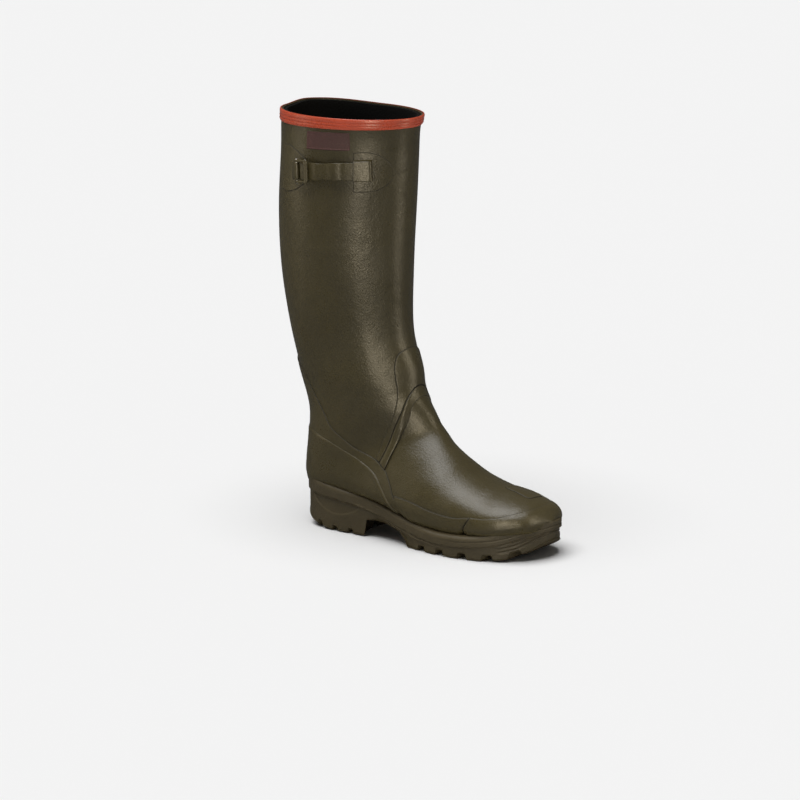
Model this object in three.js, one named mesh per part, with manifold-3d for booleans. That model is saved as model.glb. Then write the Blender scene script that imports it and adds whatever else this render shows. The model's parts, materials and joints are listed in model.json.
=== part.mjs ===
// Knee-high insulated rubber boot for the right foot, in millimetres.
// X runs from heel to toe, +Y is the inner side of the foot, -Y the outer side, Z is up.
import * as THREE from "three";
import { mergeVertices } from "three/addons/utils/BufferGeometryUtils.js";
import Module from "manifold-3d";

const wasm = await Module();
wasm.setup();

// ---------------------------------------------------------------- driving dimensions

const GAP = 0.3; // clearance between pieces that touch in the real boot
const RUBBER = 2; // wall of the leg and of the vamp
const LINING = 4; // insulating foam sleeve
const OVERLAY = 1.4; // moulded reinforcement on the outside of the rubber
const THIN_OVERLAY = 1; // second layer round the heel, and the label
const PATCH = 1; // patches under the strap and the buckle
const RIB_HEIGHT = 2.6; // ridge down the instep
const BOARD = 2; // insole board
const FOOTBED = 4;
const RING_SIDES = 24; // corners of one cross-section
const REACH = 200; // longer than any piece, for cutting prisms

// Cross-sections of the outer rubber surface, from the rim to the tip of the toe. Each one joins a
// point of the front line to a point of the back line:
// [front x, front z, back x, back z, outer half width, inner half width, ridge y, widest, squareness]
// "widest" is how far the widest place is from back to front, "squareness" the exponent of the
// superellipse that the back half follows; the front half is an ellipse.
const SECTIONS = [
  [136, 431, -25, 431, 56, 56, 0, 0.5, 2],
  [131, 405, -25, 400, 55.5, 55.5, 0, 0.5, 2],
  [127, 339, -27, 336, 57, 57, 0, 0.48, 2],
  [124.5, 272, -24, 273, 55, 55, 0, 0.48, 2],
  [125.5, 211, -16, 214, 49, 49, 0, 0.48, 2],
  [137, 172, -4, 164, 45, 45, 0, 0.48, 2],
  [142, 154, 8, 125, 42, 42, 0, 0.48, 2.1],
  [149, 142, 8, 95, 40.5, 40.5, 0, 0.46, 2.2],
  [155, 134, 5, 66, 39, 39, 0, 0.42, 2.3],
  [160, 127, 6, 50, 38, 38, 0, 0.4, 2.5],
  [165, 119, 18, 42, 38, 38, 0, 0.38, 3],
  [172, 111, 60, 41, 40, 38, 0, 0.34, 3.2],
  [182, 101, 110, 37, 43, 40, -2, 0.32, 3.2],
  [197, 89, 155, 26, 48, 43, -2, 0.34, 3.2],
  [215, 76, 200, 21, 50, 46, 0, 0.36, 3.2],
  [239, 67, 235, 21, 49, 47, 2, 0.38, 3],
  [261, 62, 261, 23, 46, 46, 4, 0.4, 2.8],
  [280, 53, 280, 28, 34, 34, 6, 0.45, 2.5],
  [291, 42, 291, 32, 19, 19, 7, 0.5, 2],
  [296, 37, 296, 37, 0, 0, 7, 0.5, 2],
];
const TOE_TIP = SECTIONS.length - 1;
const RIM_PITCH = 26; // height between the first two sections
const ANKLE = 7; // section where the leg sleeve ends and the foot lining begins

// Plan of the sole: [x, y], clockwise from the back of the heel along the outer side.
const SOLE_PLAN = [
  [5, 0], [9, -16], [20, -30], [38, -37.5], [62, -39.5], [95, -39], [125, -41], [155, -46.5],
  [190, -53], [225, -52.5], [255, -45], [280, -29], [297, -9], [303, 10], [297, 30], [279, 46],
  [245, 54], [205, 52.5], [160, 44], [115, 38], [62, 39.5], [38, 37.5], [20, 30], [9, 16],
];
// Side view of the sole: top line and bottom line, [x, z].
const SOLE_TOP = [
  [0, 52], [20, 50.5], [60, 46.5], [110, 39.5], [155, 29], [190, 24], [215, 23.5],
  [240, 25], [265, 29], [285, 34], [310, 41],
];
const SOLE_BOTTOM = [
  [0, 34], [5, 20], [10, 9], [18, 2.5], [26, 0], [97, 0], [101, 17], [112, 19], [125, 19],
  [147, 13.5], [155, 6], [158, 0], [250, 0], [268, 1.5], [285, 5.5], [296, 11], [310, 24],
];
const RIM_BAND = 11; // height of the sole's proud upper rim
const WALL_STEP = 1.5; // how far the rim stands proud of the wall under it
const LUG_DEPTH = 5.5;
const HEEL_LUG_DEPTH = 4;

// Side-view lines of the reinforcements, [x, z], the same on both sides of the boot.
const STAY_TOP = [
  [-12, 180], [7, 170], [19, 161], [33, 143], [48, 124], [58, 110], [71, 101], [88, 91],
  [110, 84], [124, 76], [128, 73], [136, 62], [142, 50],
];
const COVER_TOP = [[-10, 107], [40, 99], [80, 85], [110, 72], [123, 60], [134, 46]];
const ANKLE_REAR = [
  [114, 194], [121.5, 186], [125.5, 168.5], [129, 154], [129.5, 139], [126, 123], [118, 103],
];
const RIB_REAR = [[150, 168], [140, 158], [135.5, 134], [129, 114.5], [123, 96.5], [117, 80]];
const RIB_FRONT = [[151, 160], [144, 143], [142.5, 125.5], [136.5, 108], [130, 88.5], [125.5, 74]];
const FOXING_TOP = [[142, 52], [154, 51], [168, 49], [187, 44.5], [202, 42], [218, 41], [234, 42]];
const CAP_REAR = [[236, 43.5], [229, 33], [224.5, 24.5]];
const CAP_TOP = [[236, 43.5], [250, 43.5], [265, 46], [276, 49.5], [290, 53], [310, 56]];

// Adjuster at the top of the leg. Strap and buckle follow a cylinder that fits the outer wall.
const STRAP_CENTRE = new THREE.Vector3(51.5, 35.5, 371.5); // on the cylinder's axis
const STRAP_RADIUS = 93; // from the axis to the rubber
const STRAP_TILT = THREE.MathUtils.degToRad(4.5); // the strap climbs towards the front
const WALL_LEAN = THREE.MathUtils.degToRad(3); // the wall leans outwards on its way down
const STRAP_HEIGHT = 17.6;
const STRAP_THICKNESS = 1.7;
const STRAP_STANDOFF = 2.1; // from the rubber to the strap
const STRAP_FROM = -10; // degrees around the axis, from the outer side towards the front
const STRAP_TO = 31.5;
const STRAP_TRAVEL = 4; // degrees the strap can slide forward
const TUNNEL_FROM = 26; // degrees around the axis, as the next two
const TUNNEL_TO = 38.5;
const BUCKLE_AT = -7.2;
const BAR_RADIUS = 1.1;
const BAR_CLEARANCE = 0.06; // running fit of the bar in its eyes and in the chape
const BAR_BACK = -8; // hinge bar, along the strap from the middle of the buckle
const BAR_LIFT = 4.3; // from the rubber to the bar's axis
const FRAME_HEIGHT = 23.6;
const FRAME_FRONT = 8.5;
const FRAME_BAR = 5; // width of the buckle's front bar
const FRAME_ARM = 2.4; // height of the buckle's arms
const FRAME_THICKNESS = 2.4;
const FRAME_LIFT = 5.7; // from the rubber to the middle of the front bar

// ---------------------------------------------------------------- materials

const finish = (color, roughness) => new THREE.MeshStandardMaterial({ color, roughness, metalness: 0 });
const OLIVE = finish(0x48412f, 0.5);
const OLIVE_OVERLAY = finish(0x4c4531, 0.48);
const SOLE_RUBBER = finish(0x42392a, 0.6);
const BAND_RED = finish(0xb0442f, 0.45);
const LINING_BLACK = finish(0x0c0c0c, 0.95);
const LABEL_MAROON = finish(0x5b3230, 0.7);
const CORE_GREY = finish(0x54524c, 0.85);
const BOARD_TAN = finish(0x9a835c, 0.9);
const STIFFENER_WHITE = finish(0xc9c4b6, 0.8);
const STEEL = new THREE.MeshStandardMaterial({ color: 0x9b9c9e, roughness: 0.35, metalness: 1 });

// ---------------------------------------------------------------- solids and booleans

function toSolid(geometry) {
  const bare = geometry.clone();
  bare.deleteAttribute("normal");
  bare.deleteAttribute("uv");
  const merged = mergeVertices(bare, 1e-4);
  const vertProperties = new Float32Array(merged.attributes.position.array);
  const triVerts = new Uint32Array(merged.index.array);
  return new wasm.Manifold(new wasm.Mesh({ numProp: 3, vertProperties, triVerts }));
}

function toGeometry(solid) {
  const mesh = solid.getMesh();
  const geometry = new THREE.BufferGeometry();
  geometry.setAttribute("position", new THREE.Float32BufferAttribute(mesh.vertProperties, 3));
  geometry.setIndex(Array.from(mesh.triVerts));
  geometry.computeVertexNormals();
  return geometry;
}

// Only the largest body of a cut is kept: trimming a curved wall can leave a crumb behind.
function largestBody(solid) {
  const bodies = solid.decompose();
  bodies.sort((a, b) => b.volume() - a.volume());
  return bodies[0];
}

function shapeOf(points, smooth) {
  const corners = points.map(([x, y]) => new THREE.Vector2(x, y));
  const shape = new THREE.Shape();
  if (!smooth) return shape.setFromPoints(corners);
  shape.moveTo(corners[0].x, corners[0].y);
  shape.splineThru([...corners.slice(1), corners[0]]);
  return shape;
}

function planPrism(points, from, to, smooth = false) {
  const options = { depth: to - from, bevelEnabled: false, curveSegments: 2 };
  return toSolid(new THREE.ExtrudeGeometry(shapeOf(points, smooth), options).translate(0, 0, from));
}

// Prism of a side-view outline, [x, z], running across the boot from y = from to y = to.
function sidePrism(points, from = -REACH, to = REACH) {
  const geometry = new THREE.ExtrudeGeometry(shapeOf(points), { depth: to - from, bevelEnabled: false });
  return toSolid(geometry.rotateX(Math.PI / 2).translate(0, to, 0));
}

// A side-view line, moved up or down.
function shifted(line, rise) {
  return line.map(([x, z]) => [x, z + rise]);
}

// Outline of everything between two side-view lines that run the same way.
function between(upper, lower) {
  return [...upper, ...[...lower].reverse()];
}

function inset(points, distance) {
  return points.map(([x, y], i) => {
    const [ax, ay] = points.at(i - 1);
    const [bx, by] = points[(i + 1) % points.length];
    const length = Math.hypot(bx - ax, by - ay);
    return [x - ((by - ay) / length) * distance, y + ((bx - ax) / length) * distance];
  });
}

// ---------------------------------------------------------------- surface of the boot

// Sections moved outwards by a distance.
function offsetSections(distance) {
  return SECTIONS.map((section, i) => {
    const [fx, fz, bx, bz, outer, inner, ridge, widest, squareness] = section;
    const before = SECTIONS[Math.max(i - 1, 0)];
    const after = SECTIONS[Math.min(i + 1, TOE_TIP)];
    const front = new THREE.Vector2(before[1] - after[1], after[0] - before[0]).normalize();
    const back = new THREE.Vector2(after[3] - before[3], before[2] - after[2]).normalize();
    if (i === 0) {
      front.set(1, 0);
      back.set(-1, 0);
    }
    if (i === TOE_TIP) return [fx + distance, fz, bx + distance, bz, 0, 0, ridge, widest, squareness];
    const top = [fx + front.x * distance, fz + front.y * distance];
    const bottom = [bx + back.x * distance, bz + back.y * distance];
    const halves = [Math.max(outer + distance, 0), Math.max(inner + distance, 0)];
    return [...top, ...bottom, ...halves, ridge, widest, squareness];
  });
}

function blend(a, b, c, d, t) {
  const cubic = (3 * b - a - 3 * c + d) * t ** 3;
  return 0.5 * (2 * b + (c - a) * t + (2 * a - 5 * b + 4 * c - d) * t ** 2 + cubic);
}

function sectionAt(sections, at) {
  const i = Math.min(Math.max(Math.floor(at), 0), TOE_TIP - 1);
  const mirror = (end, next) => end.map((value, k) => 2 * value - next[k]);
  const b = sections[i];
  const c = sections[i + 1];
  const a = sections[i - 1] ?? mirror(b, c);
  const d = sections[i + 2] ?? mirror(c, b);
  return b.map((value, k) => blend(a[k], value, c[k], d[k], at - i));
}

function surfaceRing(sections, at) {
  const [fx, fz, bx, bz, outer, inner, ridge, widest, squareness] = sectionAt(sections, at);
  const midX = bx + (fx - bx) * widest;
  const midZ = bz + (fz - bz) * widest;
  const ring = [];
  for (let k = 0; k < RING_SIDES; k += 1) {
    const angle = (k / RING_SIDES) * 2 * Math.PI;
    const along = Math.cos(angle);
    const across = Math.sin(angle);
    const power = along > 0 ? 1 : 2 / squareness;
    const reach = Math.abs(along) ** power;
    const half = across > 0 ? outer : inner;
    const end = along > 0 ? [fx, fz] : [bx, bz];
    const y = ridge - Math.sign(across) * half * Math.abs(across) ** power;
    ring.push([midX + (end[0] - midX) * reach, y, midZ + (end[1] - midZ) * reach]);
  }
  return ring;
}

// Places along the boot where a ring of corners is put: at every section, and halfway between two
// sections where the surface bends most, at the rim, the ankle, the heel and the toes.
const BENDS = [[0, 1], [4, 6], [9, 13], [16, 19]];

function stops(from, to) {
  const inside = [];
  for (let at = 0.5; at < TOE_TIP; at += 0.5) {
    const bends = BENDS.some(([start, end]) => at > start && at < end);
    if (bends || Number.isInteger(at)) inside.push(at);
  }
  return [from, ...inside.filter((at) => at > from + 0.1 && at < to - 0.1), to];
}

function surfaceRings(distance, from, to) {
  const sections = offsetSections(distance);
  return stops(from, to).map((at) => {
    if (at < TOE_TIP) return surfaceRing(sections, at);
    const tip = sections[TOE_TIP];
    return [[tip[0], tip[6], tip[1]]];
  });
}

function centreOf(ring) {
  const sum = ring.reduce((total, point) => total.map((value, k) => value + point[k]), [0, 0, 0]);
  return sum.map((value) => value / ring.length);
}

function distance(a, b) {
  return Math.hypot(a[0] - b[0], a[1] - b[1], a[2] - b[2]);
}

// Skin through a row of rings. A ring of one point is a tip. An open row is capped at both ends,
// a closed row returns to its first ring. Each four-sided facet is split along its shorter diagonal.
function loft(rings, closed = false) {
  const cap = (ring) => (ring.length > 1 ? [[centreOf(ring)]] : []);
  const row = closed ? [...rings, rings[0]] : [...cap(rings[0]), ...rings, ...cap(rings.at(-1))];
  const corners = [];
  for (let i = 0; i + 1 < row.length; i += 1) {
    const a = row[i];
    const b = row[i + 1];
    for (let k = 0; k < RING_SIDES; k += 1) {
      const next = (k + 1) % RING_SIDES;
      if (a.length === 1) corners.push(a[0], b[next], b[k]);
      else if (b.length === 1) corners.push(a[k], a[next], b[0]);
      else if (distance(a[k], b[next]) < distance(a[next], b[k]) + 0.01) {
        corners.push(a[k], b[next], b[k], a[k], a[next], b[next]);
      } else corners.push(a[next], b[next], b[k], a[k], a[next], b[k]);
    }
  }
  const geometry = new THREE.BufferGeometry();
  geometry.setAttribute("position", new THREE.Float32BufferAttribute(corners.flat(), 3));
  const solid = toSolid(geometry);
  if (solid.volume() > 0) return solid;
  const turned = [];
  for (let i = 0; i < corners.length; i += 3) turned.push(corners[i], corners[i + 2], corners[i + 1]);
  geometry.setAttribute("position", new THREE.Float32BufferAttribute(turned.flat(), 3));
  return toSolid(geometry);
}

// Everything inside the surface moved outwards by a distance.
function bodyOf(distance, to = TOE_TIP) {
  return loft(surfaceRings(distance, 0, to));
}

// Wall between two offsets of the surface, open at both ends unless it reaches the toe.
function wall(inside, outside, from, to) {
  const outer = surfaceRings(outside, from, to);
  const inner = surfaceRings(inside, from, to);
  if (to < TOE_TIP) return loft([...outer, ...inner.reverse()], true);
  return loft([...inner.reverse(), ...outer]);
}

// ---------------------------------------------------------------- rubber shells and lining

const shellSplit = (shift) => [
  [172 + shift, 176], [146 + shift, 156], [140 + shift, 137], [136 + shift, 117], [129.5 + shift, 98],
  [122 + shift, 79], [130 + shift, 52], [136 + shift, 0],
];
const behindSplit = sidePrism([[-REACH, 0], [-REACH, 600], [172, 600], ...shellSplit(0)]);
const aheadOfSplit = sidePrism([[400, 0], [400, 600], [172 + GAP, 600], ...shellSplit(GAP)]);
const rubber = loft([...surfaceRings(-RUBBER, 0, TOE_TIP).reverse(), ...surfaceRings(0, 0, TOE_TIP)]);

const LINING_END = 17.4; // section where the room for the toes ends
const LINING_OUTSIDE = -(RUBBER + GAP);
const LINING_INSIDE = LINING_OUTSIDE - LINING;

function legLining() {
  return wall(LINING_INSIDE, LINING_OUTSIDE, 0, ANKLE);
}

function footLining() {
  const outer = surfaceRings(LINING_OUTSIDE, ANKLE + 0.02, TOE_TIP);
  const inner = surfaceRings(LINING_INSIDE, ANKLE + 0.02, LINING_END);
  const pockets = [toeStiffener(GAP), heelStiffener(GAP), belowFloor(RUBBER + BOARD + 2 * GAP)];
  return pockets.reduce((lining, pocket) => lining.subtract(pocket), loft([...inner.reverse(), ...outer]));
}

// ---------------------------------------------------------------- stiffeners between rubber and lining

const STIFFENER = 1.2; // thickness
const TOE_STIFFENER_REAR = 246;
const TOE_STIFFENER_LOW = 37;
const HEEL_STIFFENER_LOW = 54;
const HEEL_STIFFENER_HIGH = 88;

// Thin wall just inside the rubber; with a clearance it is the pocket for that wall.
function stiffenerLayer(from, to, clearance) {
  const outside = LINING_OUTSIDE + 2 * clearance;
  return wall(LINING_OUTSIDE - STIFFENER - clearance, outside, from, to);
}

function toeStiffener(clearance) {
  const rear = TOE_STIFFENER_REAR - clearance;
  const low = TOE_STIFFENER_LOW - clearance;
  const region = sidePrism([[rear, low], [rear, 90], [2 * REACH, 90], [2 * REACH, low]]);
  return stiffenerLayer(14, TOE_TIP, clearance).intersect(region);
}

function heelStiffener(clearance) {
  const low = HEEL_STIFFENER_LOW - clearance;
  const high = HEEL_STIFFENER_HIGH + clearance;
  const outline = [
    [-REACH, low], [-REACH, high], [30 + clearance, high], [74 + clearance, 64 + clearance],
    [74 + clearance, low],
  ];
  return stiffenerLayer(ANKLE, 12, clearance).intersect(sidePrism(outline));
}

// ---------------------------------------------------------------- reinforcements on the outside

function overlay(from, to, inside = GAP, outside = GAP + OVERLAY) {
  return wall(inside, outside, from, to);
}

const aboveSole = shifted(SOLE_TOP, GAP);

function heelStay() {
  const region = sidePrism(between(STAY_TOP, aboveSole.filter(([x]) => x < 150)));
  return overlay(4, 13).intersect(region);
}

function heelCover() {
  const region = sidePrism(between(COVER_TOP, aboveSole.filter(([x]) => x < 120)));
  const inside = 2 * GAP + OVERLAY;
  return overlay(6, 13, inside, inside + THIN_OVERLAY).intersect(region);
}

const clearOfStay = sidePrism([...shifted(STAY_TOP, GAP), [REACH, 50], [REACH, 300], [-REACH, 300]]);

function ankleFront() {
  const frontEdge = RIB_REAR.map(([x, z]) => [x - GAP, z]);
  const outline = [[150, 200], ...ANKLE_REAR, [114, 86], ...frontEdge.slice(0, -1).reverse()];
  return overlay(4, 12).intersect(sidePrism(outline)).intersect(clearOfStay);
}

function instepRib() {
  const region = sidePrism(between(RIB_FRONT, RIB_REAR));
  return overlay(5, 12, GAP, GAP + RIB_HEIGHT).intersect(region).intersect(clearOfStay);
}

function sideFoxing(side) {
  const front = CAP_REAR.slice(1).map(([x, z]) => [x - 2 * GAP, z]);
  const floor = aboveSole.filter(([x]) => x > 150 && x < 220);
  const outline = [...FOXING_TOP, ...front, ...[...floor].reverse(), [148, 31.5]];
  const half = side < 0 ? sidePrism(outline, -REACH, -10) : sidePrism(outline, 10, REACH);
  const seam = [...STAY_TOP.slice(-3), [150, 31], [150, 0]].map(([x, z]) => [x + GAP, z]);
  const ahead = sidePrism([...seam, [2 * REACH, 0], [2 * REACH, 62]]);
  return overlay(12, 15.5).intersect(half).intersect(ahead);
}

function toeCap() {
  const floor = aboveSole.filter(([x]) => x > 235);
  const outline = [...CAP_TOP, ...[...floor].reverse(), ...CAP_REAR.slice(1).reverse()];
  return overlay(14, TOE_TIP).intersect(sidePrism(outline));
}

function toePatch() {
  const length = 32;
  const width = 28;
  const corner = 5;
  const patch = new THREE.Shape();
  patch.moveTo(corner, 0);
  patch.lineTo(length - corner, 0);
  patch.absarc(length - corner, corner, corner, -Math.PI / 2, 0, false);
  patch.absarc(length - corner, width - corner, corner, 0, Math.PI / 2, false);
  patch.absarc(corner, width - corner, corner, Math.PI / 2, Math.PI, false);
  patch.absarc(corner, corner, corner, Math.PI, 1.5 * Math.PI, false);
  const geometry = new THREE.ExtrudeGeometry(patch, { depth: 60, bevelEnabled: false, curveSegments: 4 });
  const region = toSolid(geometry.translate(243, 1, 45));
  return overlay(14, TOE_TIP).intersect(region);
}

// ---------------------------------------------------------------- band round the rim and label

const BAND_HEIGHT = 11.8;

// The band's profile, [distance from the rubber, drop below the rim], with three flat ribs outside.
function topBand() {
  const rib = (from) => [[2.5, from], [2.5, from - 2.6], [1.9, from - 3.1]];
  const profile = [
    [GAP, BAND_HEIGHT], [1.9, BAND_HEIGHT], ...rib(11.2), ...rib(7.7), [2.5, 4.2], [2.5, 1], [1.4, -1.4],
    [-1.2, -1.4], [-1.2, -GAP], [GAP, -GAP],
  ];
  const rings = profile.map(([out, drop]) => surfaceRing(offsetSections(out), drop / RIM_PITCH));
  return loft(rings, true);
}

function label() {
  const outline = [[40, 398], [40, 416], [89, 417.5], [89, 399.5]];
  return overlay(0, 2, GAP, GAP + THIN_OVERLAY).intersect(sidePrism(outline, -REACH, 0));
}

// ---------------------------------------------------------------- sole

const soleProfile = sidePrism(between(SOLE_TOP, SOLE_BOTTOM));
const cup = bodyOf(GAP);

function groove(x, y, length, width, turn, depth) {
  const box = new THREE.BoxGeometry(length, width, 2 * depth);
  return toSolid(box.rotateZ(turn).translate(x, y, 0));
}

function treadGrooves() {
  const cuts = [];
  for (const x of [185, 215, 246, 270]) {
    cuts.push(groove(x, -32, 8, 62, 0.2, LUG_DEPTH), groove(x, 32, 8, 62, -0.2, LUG_DEPTH));
  }
  for (const x of [36, 57, 78]) cuts.push(groove(x, 0, 5, 100, 0, HEEL_LUG_DEPTH));
  cuts.push(groove(60, 0, 90, 7, 0, HEEL_LUG_DEPTH), groove(222, 2, 120, 8, 0, LUG_DEPTH));
  return cuts;
}

function toeGrooves() {
  const ring = inset(SOLE_PLAN, 1.2);
  return [16.5, 21, 25.5].map((z) => {
    const slot = planPrism(inset(SOLE_PLAN, -5), z, z + 1.6, true).subtract(planPrism(ring, z - 1, z + 3, true));
    return slot.intersect(sidePrism([[268, 0], [268, 60], [400, 60], [400, 0]]));
  });
}

function outsole() {
  const rim = planPrism(SOLE_PLAN, 0, 60, true).intersect(sidePrism(between(SOLE_TOP, shifted(SOLE_TOP, -RIM_BAND))));
  const block = planPrism(inset(SOLE_PLAN, WALL_STEP), 0, 60, true);
  let sole = block.add(rim).intersect(soleProfile).subtract(cup).subtract(soleCavity());
  for (const cut of [...treadGrooves(), ...toeGrooves()]) sole = sole.subtract(cut);
  return sole;
}

// ---------------------------------------------------------------- pieces inside the sole and the foot

// Lowest line of the rubber over the foot, [x, z], and the underside of the midsole.
const FLOOR = [[0, 53], [6, 50], [18, 42], [60, 41], [110, 37], [155, 26], [200, 21], [235, 21], [261, 23],
  [284, 29.5], [310, 44]];
const MIDSOLE_BOTTOM = [[0, 37], [60, 33], [110, 30], [152, 17.5], [200, 12.5], [240, 12.5], [268, 15], [310, 25]];
const MIDSOLE_MARGIN = 9; // from the edge of the sole
const CORE_HALF_WIDTH = 21;
const CORE_FLOOR = 9;
const CORE_TOP = 30.9;
const SHANK_LINE = [[62, 36.2], [110, 32.4], [150, 22.2], [176, 18.4]];
const SHANK_HALF_WIDTH = 9;
const SHANK_THICKNESS = 2;

function belowFloor(rise) {
  return sidePrism([...shifted(FLOOR, rise), [310, -10], [0, -10]]);
}

function midsoleBlock(clearance) {
  const plan = planPrism(inset(SOLE_PLAN, MIDSOLE_MARGIN - clearance), 0, 60, true);
  const top = clearance > 0 ? 10 : 1.5;
  return plan.intersect(sidePrism(between(shifted(FLOOR, top), shifted(MIDSOLE_BOTTOM, -clearance))));
}

function midsole() {
  return midsoleBlock(0).subtract(bodyOf(2 * GAP)).subtract(shankBlock(GAP));
}

// Core of the heel; with a clearance it is the pocket for it, open upwards.
function heelCoreBlock(clearance) {
  const wide = CORE_HALF_WIDTH + clearance;
  const plan = [[26, -14], [34, -wide], [82, -wide], [88, -14], [88, 14], [82, wide], [34, wide], [26, 14]];
  const spread = plan.map(([x, y]) => [x + Math.sign(x - 57) * clearance, y]);
  return planPrism(spread, CORE_FLOOR - clearance, clearance > 0 ? 60 : CORE_TOP);
}

// Steel stiffener along the waist; with a clearance it is the slot for it, open upwards.
function shankBlock(clearance) {
  const half = SHANK_HALF_WIDTH + clearance;
  const height = clearance > 0 ? 60 : SHANK_THICKNESS;
  const line = SHANK_LINE.map(([x, z]) => [x + Math.sign(x - 120) * clearance, z - clearance]);
  return sidePrism(between(shifted(line, height), line), -half, half);
}

function soleCavity() {
  return midsoleBlock(GAP).add(heelCoreBlock(GAP));
}

function insoleBoard() {
  const low = RUBBER + GAP;
  const slab = belowFloor(low + BOARD).subtract(belowFloor(low));
  return largestBody(slab.intersect(bodyOf(LINING_OUTSIDE, LINING_END)));
}

function footbed() {
  const low = RUBBER + LINING + 2 * GAP;
  const slab = belowFloor(low + FOOTBED).subtract(belowFloor(low));
  return largestBody(slab.intersect(bodyOf(LINING_INSIDE - GAP, LINING_END)));
}

// ---------------------------------------------------------------- adjuster strap and buckle

const strapGroup = new THREE.Group();
strapGroup.position.copy(STRAP_CENTRE);
strapGroup.rotation.set(-WALL_LEAN, -STRAP_TILT, 0, "YXZ");
strapGroup.updateMatrixWorld(true);

// Band on the strap's cylinder, between two angles from the outer side and two distances from the
// rubber, as a solid in the strap's own frame.
function strapBand(from, to, inside, outside, height) {
  const start = THREE.MathUtils.degToRad(from) - Math.PI / 2;
  const end = THREE.MathUtils.degToRad(to) - Math.PI / 2;
  const shape = new THREE.Shape();
  shape.absarc(0, 0, STRAP_RADIUS + outside, start, end, false);
  shape.absarc(0, 0, STRAP_RADIUS + inside, end, start, true);
  const geometry = new THREE.ExtrudeGeometry(shape, { depth: height, bevelEnabled: false, curveSegments: 10 });
  return geometry.translate(0, 0, -height / 2);
}

// The same band in the boot's frame, to be joined to or cut out of a patch on the leg.
function strapBandOnLeg(...range) {
  return toSolid(strapBand(...range).applyMatrix4(strapGroup.matrixWorld));
}

function strapPatch() {
  const outline = [
    [92, 358], [92, 397], [105, 398.5], [112, 396.5], [118, 390], [121.5, 384], [122.5, 379], [121.5, 373],
    [118, 366], [112.5, 360], [105, 357.5], [98, 357.5],
  ];
  const base = overlay(0, 3, GAP, GAP + PATCH).intersect(sidePrism(outline, -REACH, 0));
  const roofTop = STRAP_STANDOFF + STRAP_THICKNESS + 1.7;
  const roof = strapBandOnLeg(TUNNEL_FROM, TUNNEL_TO, -1, roofTop, STRAP_HEIGHT + 4).subtract(bodyOf(GAP));
  const slotTop = STRAP_STANDOFF + STRAP_THICKNESS + 0.4;
  const slot = strapBandOnLeg(20, STRAP_TO + STRAP_TRAVEL + 0.4, -4, slotTop, STRAP_HEIGHT + 0.8);
  return base.add(roof).subtract(slot);
}

function bucklePatch() {
  const outline = [[3, 352], [3, 398], [15, 399], [27, 394.5], [35, 390], [41, 385.5], [46, 379],
    [46, 371], [41, 365], [35, 360], [27, 355], [13, 351]];
  return overlay(0, 3, GAP, GAP + PATCH).intersect(sidePrism(outline, -REACH, 0));
}

// Buckle frame: a front bar over the strap, and two arms back to eyes on the hinge bar.
function buckleFrame() {
  const half = FRAME_HEIGHT / 2;
  const eye = 2.1;
  const side = new THREE.Shape();
  side.moveTo(BAR_BACK, -BAR_LIFT - eye);
  side.lineTo(FRAME_FRONT - 1, -FRAME_LIFT - FRAME_THICKNESS / 2);
  side.lineTo(FRAME_FRONT, -FRAME_LIFT);
  side.lineTo(FRAME_FRONT - 1, -FRAME_LIFT + FRAME_THICKNESS / 2);
  side.lineTo(0, -BAR_LIFT + 0.2);
  side.lineTo(BAR_BACK, -BAR_LIFT + eye);
  side.absarc(BAR_BACK, -BAR_LIFT, eye, Math.PI / 2, 1.5 * Math.PI, false);
  const hole = new THREE.Path();
  hole.absarc(BAR_BACK, -BAR_LIFT, BAR_RADIUS + BAR_CLEARANCE, 0, 2 * Math.PI, true);
  side.holes.push(hole);
  const options = { depth: FRAME_HEIGHT, bevelEnabled: false, curveSegments: 6 };
  const block = toSolid(new THREE.ExtrudeGeometry(side, options).translate(0, 0, -half));
  const windowHeight = FRAME_HEIGHT - 2 * FRAME_ARM;
  const windowFront = FRAME_FRONT - FRAME_BAR;
  const opening = new THREE.BoxGeometry(2 * REACH, 2 * REACH, windowHeight).translate(windowFront - REACH, 0, 0);
  const underBar = new THREE.BoxGeometry(60, 10, windowHeight);
  underBar.translate(0, 5 - FRAME_LIFT + FRAME_THICKNESS / 2, 0);
  return block.subtract(toSolid(opening)).subtract(toSolid(underBar));
}

function buckleBar() {
  const bar = new THREE.CylinderGeometry(BAR_RADIUS, BAR_RADIUS, FRAME_HEIGHT + 1.6, 12);
  return bar.rotateX(Math.PI / 2).translate(BAR_BACK, -BAR_LIFT, 0);
}

// Rubber loop that holds the hinge bar: it runs round the bar and back onto the patch.
function buckleChape() {
  const around = BAR_RADIUS + GAP + 1;
  const loop = new THREE.Shape();
  loop.moveTo(BAR_BACK - 9, -2);
  loop.lineTo(BAR_BACK - 9, -3);
  loop.lineTo(BAR_BACK, -BAR_LIFT - around);
  loop.absarc(BAR_BACK, -BAR_LIFT, around, -Math.PI / 2, Math.PI / 2, false);
  loop.lineTo(BAR_BACK - 4, -2);
  const hole = new THREE.Path();
  hole.absarc(BAR_BACK, -BAR_LIFT, BAR_RADIUS + BAR_CLEARANCE, 0, 2 * Math.PI, true);
  loop.holes.push(hole);
  const height = FRAME_HEIGHT - 2 * FRAME_ARM - 1.6;
  const geometry = new THREE.ExtrudeGeometry(loop, { depth: height, bevelEnabled: false, curveSegments: 6 });
  return geometry.translate(0, 0, -height / 2);
}

// ---------------------------------------------------------------- assembly

const boot = new THREE.Group();

function addPiece(name, shape, material, parent = boot) {
  const geometry = shape.isBufferGeometry ? shape : toGeometry(shape);
  const mesh = new THREE.Mesh(geometry, material);
  mesh.name = name;
  parent.add(mesh);
}

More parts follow.
